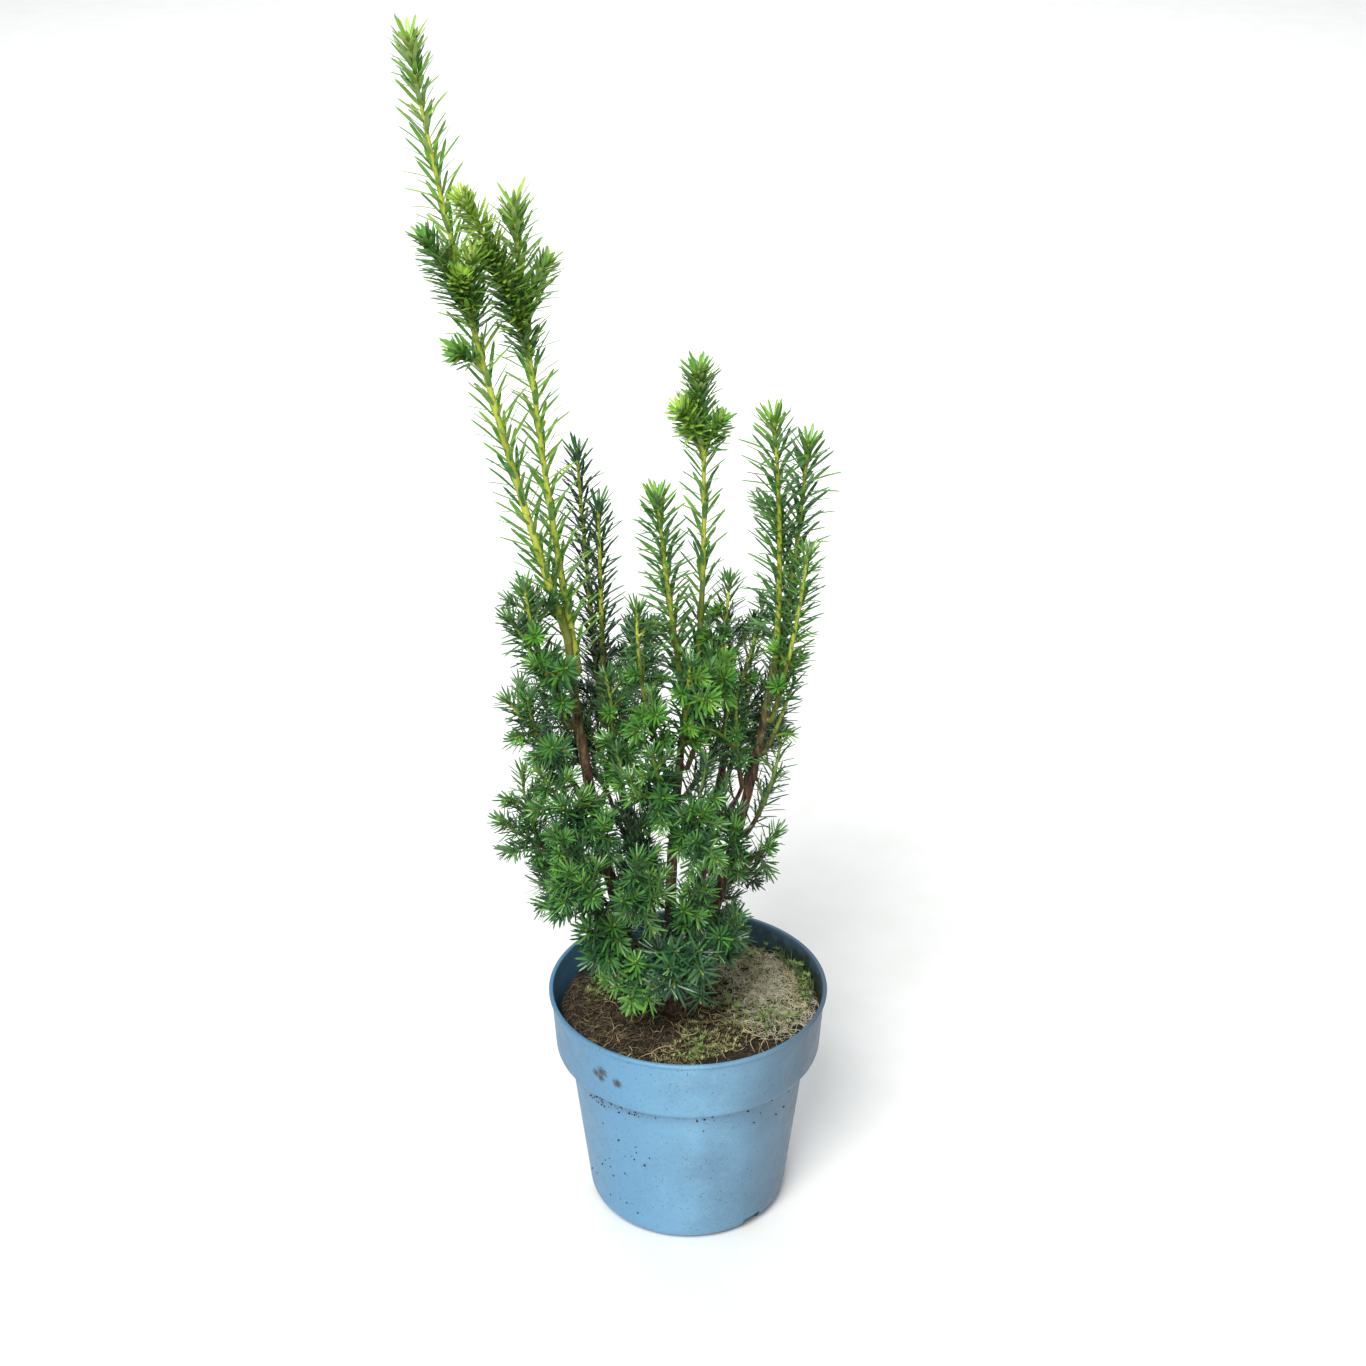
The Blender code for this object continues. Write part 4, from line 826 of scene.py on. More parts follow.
# %% Stems and boughs: carrier, foot, tip, bow and radii
# Stems rise from the trunk's arms, so they have a foot of their own and no carrier
STEMS = (
    Limb("stem_left", "", 0, (-0.040, -0.006, 0.205), (-0.0765, 0.000, 0.430), (-0.005, 0, 0),
         0.0042, 0.0024),
    Limb("stem_middle", "", 0, (-0.0125, -0.010, 0.212), (-0.002, -0.005, 0.382), (-0.002, 0, 0),
         0.0038, 0.0021),
    Limb("stem_right", "", 0, (0.012, -0.001, 0.210), (0.0556, 0.003, 0.415), (0.004, 0, 0),
         0.0038, 0.0021),
    Limb("stem_back_left", "", 0, (-0.024, 0.016, 0.210), (-0.055, 0.030, 0.376), (-0.003, 0.006, 0),
         0.0034, 0.0019),
    Limb("stem_back_right", "", 0, (0.004, 0.019, 0.208), (0.030, 0.045, 0.352), (0, 0.006, 0),
         0.0034, 0.0019),
)

# Boughs leave a stem's side, at a share of the stem's length
BOUGHS = (
    Limb("bough_left_low", "stem_left", 0.26, (-1, -0.3, 0), (-0.084, -0.022, 0.285), (0, 0, -0.003),
         0.0022, 0.0015),
    Limb("bough_front_left", "stem_left", 0.15, (-0.3, -1, 0), (-0.057, -0.042, 0.266), (0, 0, -0.003),
         0.0022, 0.0015),
    Limb("bough_front", "stem_middle", 0.17, (-0.3, -1, 0), (-0.024, -0.044, 0.268), (0, 0, -0.003),
         0.0022, 0.0015),
    Limb("bough_right_low", "stem_right", 0.21, (1, -0.1, 0), (0.0413, 0.000, 0.266), (0, 0, -0.002),
         0.0020, 0.0014),
    Limb("bough_back_left", "stem_back_left", 0.30, (-0.4, 1, 0), (-0.055, 0.055, 0.288), (0, 0, -0.003),
         0.0020, 0.0014),
    Limb("bough_back_right", "stem_back_right", 0.35, (0.5, 1, 0), (0.038, 0.062, 0.290), (0, 0, -0.003),
         0.0020, 0.0014),
)

# %% Foliage masses: limb, share, way out, tip, bow, radius, aimed side shoots, side shoots by rule
# Foliage of the upper crown: long leaders and the sprays below them
UPPER_MASSES = (
    Mass("leader_tall", "stem_left", 1.0, (), (-0.159, -0.005, 0.815), (-0.007, 0, 0),
         0.0023, ((0.475, (-0.1385, -0.013, 0.630)), (0.55, (-0.154, -0.012, 0.700)),
                  (0.52, (-0.1265, -0.014, 0.690))), 0),
    Mass("leader_inner", "stem_left", 0.90, (1, 0.7, 0), (-0.103, 0.010, 0.714), (-0.004, 0.002, 0),
         0.0021, ((0.72, (-0.1315, -0.012, 0.724)), (0.75, (-0.085, 0.014, 0.677)),
                  (0.66, (-0.118, -0.001, 0.688))), 0),
    Mass("spray_left_outer", "stem_left", 0.74, (-1, -0.6, 0), (-0.102, -0.020, 0.480), (-0.004, -0.004, 0),
         0.0016, ((0.35, (-0.112, -0.030, 0.462)),), 2),
    Mass("leader_back_left", "stem_back_left", 0.86, (-1, 0.5, 0), (-0.070, 0.035, 0.546), (-0.001, 0.004, 0),
         0.0016, (), 0),
    Mass("leader_back_middle", "stem_back_left", 1.0, (), (-0.057, 0.030, 0.513), (0, 0, 0),
         0.0017, (), 0),
    Mass("leader_middle_left", "stem_middle", 1.0, (), (-0.019, -0.022, 0.540), (-0.001, 0, 0),
         0.0019, (), 0),
    Mass("leader_middle", "stem_middle", 0.90, (1, 0.5, 0), (0.006, 0.002, 0.612), (0.006, 0.003, 0),
         0.0019, ((0.76, (0.0195, -0.006, 0.584)), (0.79, (-0.006, -0.010, 0.592)),
                  (0.74, (0.009, 0.021, 0.574))), 0),
    Mass("spray_middle_right", "stem_middle", 0.76, (1, 0.1, 0), (0.026, 0.008, 0.471), (0.005, 0, 0),
         0.0015, (), 1),
    Mass("spray_middle_left", "stem_middle", 0.70, (-1, -0.4, 0), (-0.032, -0.020, 0.464), (-0.006, 0, 0),
         0.0016, (), 2),
    Mass("spray_middle_front", "stem_middle", 0.84, (0.1, -1, 0), (0.001, -0.032, 0.432), (0, -0.004, 0),
         0.0014, (), 1),
    Mass("spray_right_inner", "stem_middle", 0.62, (1, 0.5, 0), (0.044, 0.016, 0.431), (0.003, 0, -0.008),
         0.0015, (), 1),
    Mass("spray_right_small", "stem_right", 0.56, (-1, -0.5, 0), (0.031, -0.012, 0.398), (-0.002, 0, 0),
         0.0014, (), 1),
    Mass("leader_right", "stem_right", 1.0, (), (0.052, 0.003, 0.581), (0.003, 0, 0),
         0.0018, (), 0),
    Mass("leader_right_outer", "stem_right", 0.90, (1, 0.5, 0), (0.074, 0.010, 0.562), (0.001, 0.002, 0),
         0.0017, (), 1),
    Mass("spray_right_outer", "stem_right", 0.80, (1, -0.5, 0), (0.074, -0.015, 0.500), (0.002, -0.003, 0),
         0.0015, (), 0),
    Mass("spur_right", "stem_right", 0.68, (1, 0.2, 0), (0.068, 0.001, 0.402), (0, 0, -0.003),
         0.0013, (), 0),
)

# Foliage of the lower crown: sprays that stand out to the sides and to the front
LOWER_MASSES = (
    Mass("spray_left_mid", "stem_left", 0.52, (-1, -0.4, 0), (-0.115, -0.025, 0.402), (-0.002, 0, 0.004),
         0.0015, ((0.5, (-0.101, -0.033, 0.406)),), 2),
    Mass("spray_left_inner", "stem_left", 0.48, (1, -0.2, 0), (-0.053, -0.002, 0.408), (0.006, 0, 0),
         0.0014, (), 2),
    Mass("spray_left_low", "bough_left_low", 1.0, (), (-0.121, -0.040, 0.322), (0, 0, -0.002),
         0.0015, ((0.15, (-0.106, -0.033, 0.356)), (0.3, (-0.095, -0.042, 0.335))), 0),
    Mass("spray_left_skirt", "stem_left", 0.10, (-1, 0.1, 0), (-0.096, -0.010, 0.270), (0, 0, -0.003),
         0.0014, ((0.4, (-0.084, -0.020, 0.250)), (0.45, (-0.086, 0.004, 0.292)),
                  (0.3, (-0.099, 0.006, 0.244))), 0),
    Mass("spray_front_left", "bough_front_left", 1.0, (), (-0.076, -0.082, 0.310), (0, 0, -0.002),
         0.0015, ((0.2, (-0.085, -0.064, 0.328)), (0.3, (-0.060, -0.086, 0.292)),
                  (0.25, (-0.086, -0.060, 0.288))), 0),
    Mass("spray_left_front", "stem_left", 0.38, (-0.3, -1, 0), (-0.080, -0.060, 0.345), (0, -0.004, 0),
         0.0015, ((0.45, (-0.096, -0.045, 0.362)), (0.4, (-0.064, -0.050, 0.346))), 1),
    Mass("spray_front", "bough_front", 1.0, (), (-0.042, -0.080, 0.286), (0, 0, -0.002),
         0.0015, ((0.2, (-0.032, -0.076, 0.317)), (0.3, (-0.014, -0.080, 0.292)),
                  (0.35, (-0.022, -0.078, 0.262))), 0),
    Mass("spray_front_high", "stem_middle", 0.55, (-0.5, -1, 0), (-0.023, -0.052, 0.378), (0, -0.006, 0),
         0.0015, ((0.35, (-0.036, -0.060, 0.350)), (0.3, (-0.016, -0.060, 0.350))), 1),
    Mass("spray_front_right", "stem_middle", 0.42, (0.5, -1, 0), (0.010, -0.060, 0.341), (0, -0.004, 0),
         0.0015, ((0.45, (0.012, -0.040, 0.368)), (0.3, (-0.004, -0.052, 0.318))), 1),
    Mass("spray_front_low", "stem_middle", 0.06, (0.4, -1, 0), (0.012, -0.062, 0.286), (0, 0, -0.002),
         0.0014, ((0.45, (-0.004, -0.064, 0.268)),), 0),
    Mass("spray_right_low", "bough_right_low", 1.0, (), (0.059, 0.000, 0.290), (0, 0, -0.002),
         0.0013, ((0.12, (0.053, -0.014, 0.266)),), 0),
    Mass("spray_right_mid", "stem_right", 0.38, (1, 0.1, 0), (0.060, 0.000, 0.357), (0.003, 0, -0.004),
         0.0014, ((0.4, (0.059, 0.018, 0.322)),), 0),
    Mass("spray_right_front", "stem_right", 0.30, (0.2, -1, 0), (0.030, -0.042, 0.318), (0, -0.004, 0),
         0.0014, (), 1),
    Mass("skirt_right", "arm_right", 0.75, (0.5, -1, 0), (0.032, -0.042, 0.251), (0, 0, -0.003),
         0.0014, ((0.4, (0.020, -0.058, 0.244)), (0.5, (0.034, -0.026, 0.232))), 0),
    Mass("skirt_front", "arm_middle", 0.55, (0.1, -1, 0), (-0.009, -0.078, 0.220), (0, 0, 0.010),
         0.0015, ((0.40, (0.008, -0.070, 0.242)), (0.30, (-0.020, -0.062, 0.236)),
                  (0.50, (0.014, -0.062, 0.212))), 0),
    Mass("skirt_left", "arm_left", 0.50, (-0.1, -1, 0), (-0.038, -0.068, 0.198), (0, 0, 0.010),
         0.0015, ((0.45, (-0.056, -0.054, 0.208)), (0.35, (-0.034, -0.062, 0.228)),
                  (0.55, (-0.024, -0.068, 0.200))), 0),
    Mass("skirt_far_left", "arm_left", 0.88, (-0.5, -1, 0), (-0.066, -0.050, 0.244), (0, 0, 0),
         0.0014, ((0.4, (-0.048, -0.056, 0.252)),), 0),
)

# Foliage of the back, which fills the crown out all round
BACK_MASSES = (
    Mass("spray_back_left_low", "bough_back_left", 1.0, (), (-0.080, 0.076, 0.318), (0, 0, -0.002),
         0.0015, (), 3),
    Mass("spray_back_left", "stem_back_left", 0.58, (-1, 0.5, 0), (-0.082, 0.056, 0.382), (0, 0, 0),
         0.0015, (), 3),
    Mass("spray_back_middle", "stem_back_left", 0.72, (0.5, 1, 0), (-0.036, 0.070, 0.404), (0, 0.004, 0),
         0.0015, (), 3),
    Mass("spray_back_right_low", "bough_back_right", 1.0, (), (0.045, 0.078, 0.318), (0, 0, -0.002),
         0.0015, (), 2),
    Mass("spray_back_right", "stem_back_right", 0.70, (1, 0.2, 0), (0.044, 0.052, 0.378), (0, 0, 0),
         0.0015, (), 2),
    Mass("leader_back_right", "stem_back_right", 1.0, (), (0.026, 0.060, 0.420), (0, 0, 0),
         0.0015, (), 2),
    Mass("skirt_back_left", "arm_back_left", 0.60, (-0.6, 1, 0), (-0.050, 0.062, 0.240), (0, 0, 0),
         0.0014, (), 2),
    Mass("skirt_back_right", "arm_back_right", 0.60, (0.8, 1, 0), (0.034, 0.058, 0.240), (0, 0, 0),
         0.0014, (), 2),
    Mass("skirt_inner_left", "stem_back_left", 0.10, (0.6, -1, 0), (-0.030, -0.004, 0.282), (0, 0, 0),
         0.0014, ((0.5, (-0.046, -0.001, 0.308)),), 2),
)

MASSES = UPPER_MASSES + LOWER_MASSES + BACK_MASSES
print("stems:", len(STEMS), "boughs:", len(BOUGHS), "masses:", len(MASSES))

# %% [markdown]
# The shoots of one plant keep apart, because each grows towards the light. The rule keeps a list of every
# straight piece so far, and a new shoot stays only where its closest approach to them leaves room.

# %% The space that is taken, so that shoots keep apart
class Taken:
    """The straight pieces of every limb and shoot so far, with a radius at both ends and their owner."""

    def __init__(self):
        self.ends, self.radii, self.owners = [], [], []

    def add_path(self, points, radii, owner):
        """Take the space of a whole tube."""
        for index in range(len(points) - 1):
            self.ends.append((points[index], points[index + 1]))
            self.radii.append((radii[index], radii[index + 1]))
            self.owners.append(owner)

    def room(self, foot, tip, foot_radius, tip_radius, chosen):
        """The least gap between a straight piece and the taken ones whose owner is chosen."""
        rows = [index for index, owner in enumerate(self.owners) if chosen(owner)]
        if not rows:
            return 1.0
        ends, radii = np.array(self.ends)[rows], np.array(self.radii)[rows]
        mine, theirs, apart = closest(np.array(foot), np.array(tip), ends[:, 0], ends[:, 1])
        own = foot_radius + (tip_radius - foot_radius) * mine
        return float((apart - own - radii[:, 0] - (radii[:, 1] - radii[:, 0]) * theirs).min())


def closest(foot, tip, feet, tips):
    """Closest approach of one straight piece to many: the share along each, and the distance."""
    mine, theirs, between = tip - foot, tips - feet, foot - feet
    own_square, other_square = mine @ mine, (theirs * theirs).sum(axis=1)
    cross, own_part, other_part = theirs @ mine, between @ mine, (theirs * between).sum(axis=1)
    spread = own_square * other_square - cross * cross
    leaning, wanted = spread > 1e-18, cross * other_part - own_part * other_square
    share = np.clip(np.where(leaning, wanted / np.where(leaning, spread, 1.0), 0.0), 0.0, 1.0)
    other_share = np.clip((cross * share + other_part) / other_square, 0.0, 1.0)
    share = np.clip((cross * other_share - own_part) / own_square, 0.0, 1.0)
    gap = (foot + share[:, None] * mine) - (feet + other_share[:, None] * theirs)
    return share, other_share, np.linalg.norm(gap, axis=1)


def clear_of_pot(place, clearance=POT_CLEAR):
    """True where a point is above the filling inside the rim, or above the rim outside it."""
    outside = math.hypot(place[0], place[1]) > COLLAR_FOOT_RADIUS - 2.0 * POT_CLEAR
    return place[2] > (POT_HEIGHT if outside else SOIL_CROWN_Z) + clearance

# %% [markdown]
# Wood bends in smooth arcs. A limb is an arc from its foot to its tip whose middle stands off by its bow,
# and it tapers evenly. A carried limb starts on the surface of its carrier, not on the carrier's axis.

# %% Trunk, arms, stems and boughs as paths
def along(foot, tip, bow, share):
    """A point of the arc from foot to tip whose middle stands off the straight line by bow."""
    return foot.lerp(tip, share) + bow * (4.0 * share * (1.0 - share))


def arc(foot, tip, bow, count):
    """Evenly shared points of the arc, both ends included."""
    return [along(foot, tip, bow, index / count) for index in range(count + 1)]


def taper(foot_radius, tip_radius, count):
    """Radii that narrow evenly along a path of count points."""
    return [foot_radius + (tip_radius - foot_radius) * index / (count - 1) for index in range(count)]


def limb_frame(paths, limb, share):
    """The point, direction and radius of a limb at a share of its length."""
    points, radii = paths[limb]
    lengths = [(tip - foot).length for foot, tip in zip(points, points[1:])]
    left = share * sum(lengths)
    index = 0
    while index < len(lengths) - 1 and left > lengths[index]:
        left -= lengths[index]
        index += 1
    foot, tip = points[index], points[index + 1]
    radius = radii[index] + (radii[index + 1] - radii[index]) * left / lengths[index]
    return foot.lerp(tip, left / lengths[index]), (tip - foot).normalized(), radius


def start_on(paths, limb, share, out, tip):
    """Where a shoot or bough starts on its limb, and in which direction."""
    place, direction, radius = limb_frame(paths, limb, share)
    if share >= 1.0:
        return place + direction * GAP, direction
    side = Vector(out) if out else tip - place
    side = (side - direction * side.dot(direction)).normalized()
    return place + side * (radius + GAP), side

# %% The limbs laid out
taken, paths, seat = Taken(), {}, Vector((TRUNK_PLACE.x, TRUNK_PLACE.y, SOIL_CROWN_Z + GAP))
stock_radii = (FLARE_RADIUS, 0.46 * (FLARE_RADIUS + TRUNK_RADIUS), TRUNK_RADIUS, TRUNK_TOP_RADIUS)
stock = [seat + Vector((0.0, 0.0, TRUNK_HEIGHT * height)) for height in (0.0, 0.25, 0.5, 1.0)]
taken.add_path(stock, stock_radii, -1)
for stem in STEMS:
    foot, tip = seat + Vector((0.0, 0.0, ARM_FOOT_HEIGHT)), Vector(stem.foot)
    rise = (along(tip, Vector(stem.tip), Vector(stem.bow), 0.02) - tip).normalized()
    level = foot.lerp(tip, 0.5)
    bow = Vector((level.x - foot.x, level.y - foot.y, 0.0)) * ARM_BOW
    points = arc(foot, tip - rise * KNEE, bow, 4) + [tip - rise * GAP]
    arm = stem.name.replace("stem", "arm")
    paths[arm] = (points, taper(stem.foot_radius * ARM_FLARE, stem.foot_radius, 6))
    taken.add_path(*paths[arm], -1)
for limb in STEMS + BOUGHS:
    tip, bow = Vector(limb.tip), Vector(limb.bow)
    if limb.carrier:
        start, direction = start_on(paths, limb.carrier, limb.share, limb.foot, tip)
        points = [start] + arc(start + direction * KNEE, tip, bow, 4)
    else:
        points = arc(Vector(limb.foot), tip, bow, 8)
    paths[limb.name] = (points, taper(limb.foot_radius, limb.tip_radius, len(points)))
    taken.add_path(*paths[limb.name], -1)
print("limbs:", len(paths))

# %% [markdown]
# A yew sets its buds in a spiral, so side shoots stand a golden turn apart, lean out by 42 degrees and get
# shorter towards the tip. Some are aimed where the photograph shows them; the rest come by dice.

# %% Leading shoots and side shoots, by the same dice
class Shoot:
    """A bare knee and then an arc; grade 1 is a leading shoot, 2 a side shoot and 3 a fine one."""

    def __init__(self, start, direction, tip, bow, foot_radius, dice, owner, grade):
        self.knee, self.tip, self.bow = start + direction * KNEE, tip, bow
        self.length = (tip - self.knee).length
        needled = max(2, round((self.length - BARE_FOOT) / NEEDLE_STEP))
        first = BARE_FOOT / self.length
        shares = [first + (1.0 - first) * index / needled for index in range(needled + 1)]
        self.points = [start, self.knee] + [along(self.knee, tip, bow, share) for share in shares]
        self.radii = taper(foot_radius, TWIG_TIP_RADIUS, len(self.points))
        self.turn = dice.uniform(0.0, math.pi)
        self.owner, self.grade = owner, grade

    def at(self, share):
        """The point and direction at a share of the length."""
        ahead = along(self.knee, self.tip, self.bow, min(share + 0.02, 1.0))
        behind = along(self.knee, self.tip, self.bow, max(share - 0.02, 0.0))
        return along(self.knee, self.tip, self.bow, share), (ahead - behind).normalized()


def turned_about(axis, degrees):
    """A direction square to an axis, turned about it."""
    around = axis.orthogonal().normalized()
    around.rotate(Quaternion(axis, math.radians(degrees)))
    return around


def shoot_is_clear(foot, target, owner):
    """True where the outer part of a side shoot keeps to its mass's own space."""
    outer = foot.lerp(target, OUTER_SHARE)
    if not (clear_of_pot(outer) and clear_of_pot(target)):
        return False
    return taken.room(outer, target, TWIG_RADIUS, TWIG_TIP_RADIUS, lambda other: other != owner) > SHOOT_CLEAR

# %% The frame's shoots grown again
dice = random.Random(SEED)
shoots = []
for owner, mass in enumerate(MASSES):
    tip = Vector(mass.tip)
    start, direction = start_on(paths, mass.limb, mass.share, mass.out, tip)
    shoots.append(Shoot(start, direction, tip, Vector(mass.bow), mass.radius, dice, owner, 1))
    taken.add_path(shoots[-1].points, shoots[-1].radii, owner)
for owner, mass in enumerate(MASSES):
    leading = shoots[owner]
    for share, aim in mass.aimed:
        foot, axis = leading.at(share)
        rise = (Vector(aim) - foot).normalized()
        bow = (axis - rise) * (AIMED_BOW * (Vector(aim) - foot).length)
        shoots.append(Shoot(foot, rise, Vector(aim), bow, TWIG_RADIUS, dice, owner, 2))
        taken.add_path(shoots[-1].points[1:], shoots[-1].radii[1:], owner)
    turn, own = dice.uniform(0.0, 360.0), []
    for index in range(mass.by_rule):
        share = TWIG_FIRST_SHARE + TWIG_SHARE_SPAN * (index + dice.uniform(0.2, 0.8)) / mass.by_rule
        foot, axis = leading.at(share)
        size = TWIG_LENGTH * dice.uniform(*TWIG_SIZES) * (1.0 - TWIG_SHORTENING * share)
        for _ in range(TWIG_TRIES):
            turn += GOLDEN_TURN
            lean = math.radians(TWIG_LEAN)
            rise = axis * math.cos(lean) + turned_about(axis, turn) * math.sin(lean)
            target = foot + rise * size
            if shoot_is_clear(foot, target, owner):
                own.append(Shoot(foot, rise, target, axis * TWIG_BOW, TWIG_RADIUS, dice, owner, 2))
                break
    for shoot in own:
        taken.add_path(shoot.points[1:], shoot.radii[1:], owner)
    shoots += own
print("shoots as in the frame:", len(shoots))

# %% [markdown]
# ## Finer shoots
# A real side shoot branches once more. The rule is carried one step on: short shoots of about 10 to 30 mm, a
# golden turn of 137.5 degrees apart, on every mass but the bare parts of the leaders. One is kept only if it
# clears the limbs, its neighbours and the pot, and stays inside its own mass's box, so that the outline stays
# the same.

# %% Shoots of the third grade
FINE_SPACING = {mass.name: 0.0062 for mass in LOWER_MASSES + BACK_MASSES}
FINE_SPACING.update({mass.name: 0.0075 for mass in UPPER_MASSES})
FINE_SPACING.update({name: 0.0028 for name in ("leader_tall", "leader_inner", "leader_middle")})
FINE_SPACING.update({name: 0.0105 for name in ("spray_left_outer", "spray_left_mid")})
OPEN_SPRAYS = ("spray_right_mid", "spray_right_low", "spur_right", "spray_right_small")
FINE_SPACING.update({name: 0.0140 for name in OPEN_SPRAYS})
CLOSE_SPRAYS = ("skirt_inner_left", "spray_left_inner", "spray_back_left_low")
FINE_SPACING.update({name: 0.0045 for name in CLOSE_SPRAYS})
# The long leaders stay bare of fine shoots up to this share of their length; with 2 they have none
FINE_FROM = {name: 2.0 for name in ("leader_tall", "leader_inner", "leader_back_left", "leader_back_middle",
                                    "leader_middle_left", "leader_right", "leader_right_outer")}
FINE_FROM["leader_middle"] = 0.64
# Side shoots of these masses stay narrow, so their fine shoots are short and lie close to them
NARROW = ("leader_tall", "leader_inner", "leader_middle", "leader_right", "leader_right_outer",
          "spray_right_outer")
FINE_LENGTHS, FINE_LEAN, FINE_RADIUS, FINE_TRIES, FINE_INSET = (0.012, 0.027), 48.0, 0.0009, 8, 0.007
NARROWED, FIRST_ON_LEADER, FIRST_ON_SIDE, LAST_SHARE, BARE_TIP = 0.72, 0.12, 0.15, 0.86, 0.008
FINE_ROOM, LIMB_ROOM, TIP_OVER_POT, OUTER_OVER_POT = 0.0021, 0.0020, 0.006, 0.004


def inside_box(place, box, inset):
    """True where a point lies inside a box by at least the inset."""
    return all(low + inset <= value <= high - inset for value, low, high in zip(place, *box))


dice = random.Random(SEED + 2)
fine = []
for shoot in shoots:
    mass = MASSES[shoot.owner]
    spacing = FINE_SPACING[mass.name]
    first_share = FINE_FROM.get(mass.name, FIRST_ON_LEADER) if shoot.grade == 1 else FIRST_ON_SIDE
    if first_share > 1.0:
        continue
    box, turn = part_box(mass.name), dice.uniform(0.0, 360.0)
    narrowed = NARROWED if mass.name in NARROW else 1.0
    lean = math.radians(FINE_LEAN * narrowed)
    count = int((shoot.length * (1.0 - first_share) - BARE_TIP) / spacing)
    for index in range(count):
        share = first_share + (LAST_SHARE - first_share) * (index + dice.uniform(0.2, 0.8)) / max(count, 1)
        foot, axis = shoot.at(share)
        size = dice.uniform(*FINE_LENGTHS) * (1.15 - 0.5 * share) * narrowed
        for _ in range(FINE_TRIES):
            turn += GOLDEN_TURN
            rise = axis * math.cos(lean) + turned_about(axis, turn) * math.sin(lean)
            tip, outer = foot + rise * size, foot + rise * (0.4 * size)
            if not inside_box(tip, box, FINE_INSET):
                continue
            if not (clear_of_pot(tip, TIP_OVER_POT) and clear_of_pot(outer, OUTER_OVER_POT)):
                continue
            if taken.room(outer, tip, FINE_RADIUS, FINE_RADIUS, lambda other: other < 0) < LIMB_ROOM:
                continue
            if taken.room(outer, tip, FINE_RADIUS, FINE_RADIUS, lambda other: other >= 0) < FINE_ROOM:
                continue
            fine.append(Shoot(foot, rise, tip, axis * (0.06 * size), FINE_RADIUS, dice, shoot.owner, 3))
            taken.add_path([outer, tip], [FINE_RADIUS, FINE_RADIUS], shoot.owner)
            break
shoots += fine
in_all = sum(shoot.length for shoot in shoots)
print("finer shoots:", len(fine), "and all shoots together:", round(in_all, 2), "metres")

# %% [markdown]
# ## Bark
# Yew bark is thin, red-brown and scaly, and lifts in small flakes, with darker wood-brown between them. On a
# nursery plant only the lower stems have it; higher up the stems turn olive. The stock, arms, stems and
# boughs are swept as tubes, fused by a voxel remesh of 0.9 mm, so the forks grow into each other as wood
# does, and then each point is moved by noise that is stretched along the stem, as bark splits lengthways.

# %% Bark with its relief
RING_STEP, VOXEL, BARK_GROWTH, STOCK_DEPTH, FLARE_HEIGHT = 0.0016, 0.00090, 1.12, 0.004, 0.016
SMOOTHINGS, INSIDE_CARRIER, STOCK_CORNERS, STEM_CORNERS, BOUGH_CORNERS = 5, 0.0015, 40, 18, 14
# The knot's path, with its radii: a pruned side twig of the middle stem
KNOT = ((-0.0040, -0.0060, 0.3590), (-0.0012, -0.0085, 0.3622), (0.0012, -0.0105, 0.3640))
KNOT_RADII = (0.0030, 0.0026, 0.0021)
# Flakes of two sizes: width, height and how far they stand off
FLAKES = ((0.0024, 0.0085, 0.00032), (0.0011, 0.0026, 0.00014))


def resampled(points, radii, step):
    """Points at even steps along a path, rounded at its corners, with their radii."""
    points = np.array([tuple(point) for point in points])
    walked = np.concatenate(([0.0], np.cumsum(np.linalg.norm(np.diff(points, axis=0), axis=1))))
    at = np.linspace(0.0, walked[-1], max(4, int(walked[-1] / step)))
    path = np.stack([np.interp(at, walked, points[:, axis]) for axis in range(3)], axis=1)
    for _ in range(SMOOTHINGS):
        path[1:-1] = 0.25 * path[:-2] + 0.5 * path[1:-1] + 0.25 * path[2:]
    return path, np.interp(at, walked, radii)


def closed_tube(path, radii, corners):
    """A swept tube with its ends drawn in to a point."""
    first, last = path[0] + 0.2 * (path[0] - path[1]), path[-1] + 0.2 * (path[-1] - path[-2])
    return sweep(np.vstack((first, path, last)), np.concatenate(([1e-6], radii, [1e-6])), corners)

# %% [markdown]
# Separate tubes would show a seam where they meet. A voxel remesh wraps them all in one skin, and a light
# smoothing rounds the steps that it leaves.

# %% Stock, arms, stems and boughs fused into one skin
wood = []
sunk = seat - Vector((0.0, 0.0, STOCK_DEPTH))
path, radii = resampled([sunk] + stock, (FLARE_RADIUS * 1.05, *stock_radii), 0.0012)
points, faces = closed_tube(path, radii, STOCK_CORNERS)
# The stock's foot swells into three low buttresses, each a little furrowed
around = np.arctan2(points[:, 1] - TRUNK_PLACE.y, points[:, 0] - TRUNK_PLACE.x)
buttresses = 0.10 * np.cos(3.0 * around + 0.8) + 0.05 * np.cos(7.0 * around)
flare = np.clip((seat.z + FLARE_HEIGHT - points[:, 2]) / FLARE_HEIGHT, 0.0, 1.0) * buttresses
points[:, :2] += (points[:, :2] - np.array(TRUNK_PLACE)[:2]) * flare[:, None]
wood.append((points, faces))
for stem in STEMS:
    arm_points, arm_radii = paths[stem.name.replace("stem", "arm")]
    points, radii = paths[stem.name]
    path, radii = resampled(arm_points + points, list(arm_radii) + list(radii), RING_STEP)
    wood.append(closed_tube(path, BARK_GROWTH * radii, STEM_CORNERS))
for bough in BOUGHS:
    points, radii = paths[bough.name]
    inside = points[0] - (points[1] - points[0]).normalized() * INSIDE_CARRIER
    path, radii = resampled([inside] + points, [radii[0]] + radii, RING_STEP)
    wood.append(closed_tube(path, BARK_GROWTH * radii, BOUGH_CORNERS))
path, radii = resampled([Vector(place) for place in KNOT], KNOT_RADII, 0.0008)
wood.append(closed_tube(path, radii, BOUGH_CORNERS))
points, faces = joined(wood)
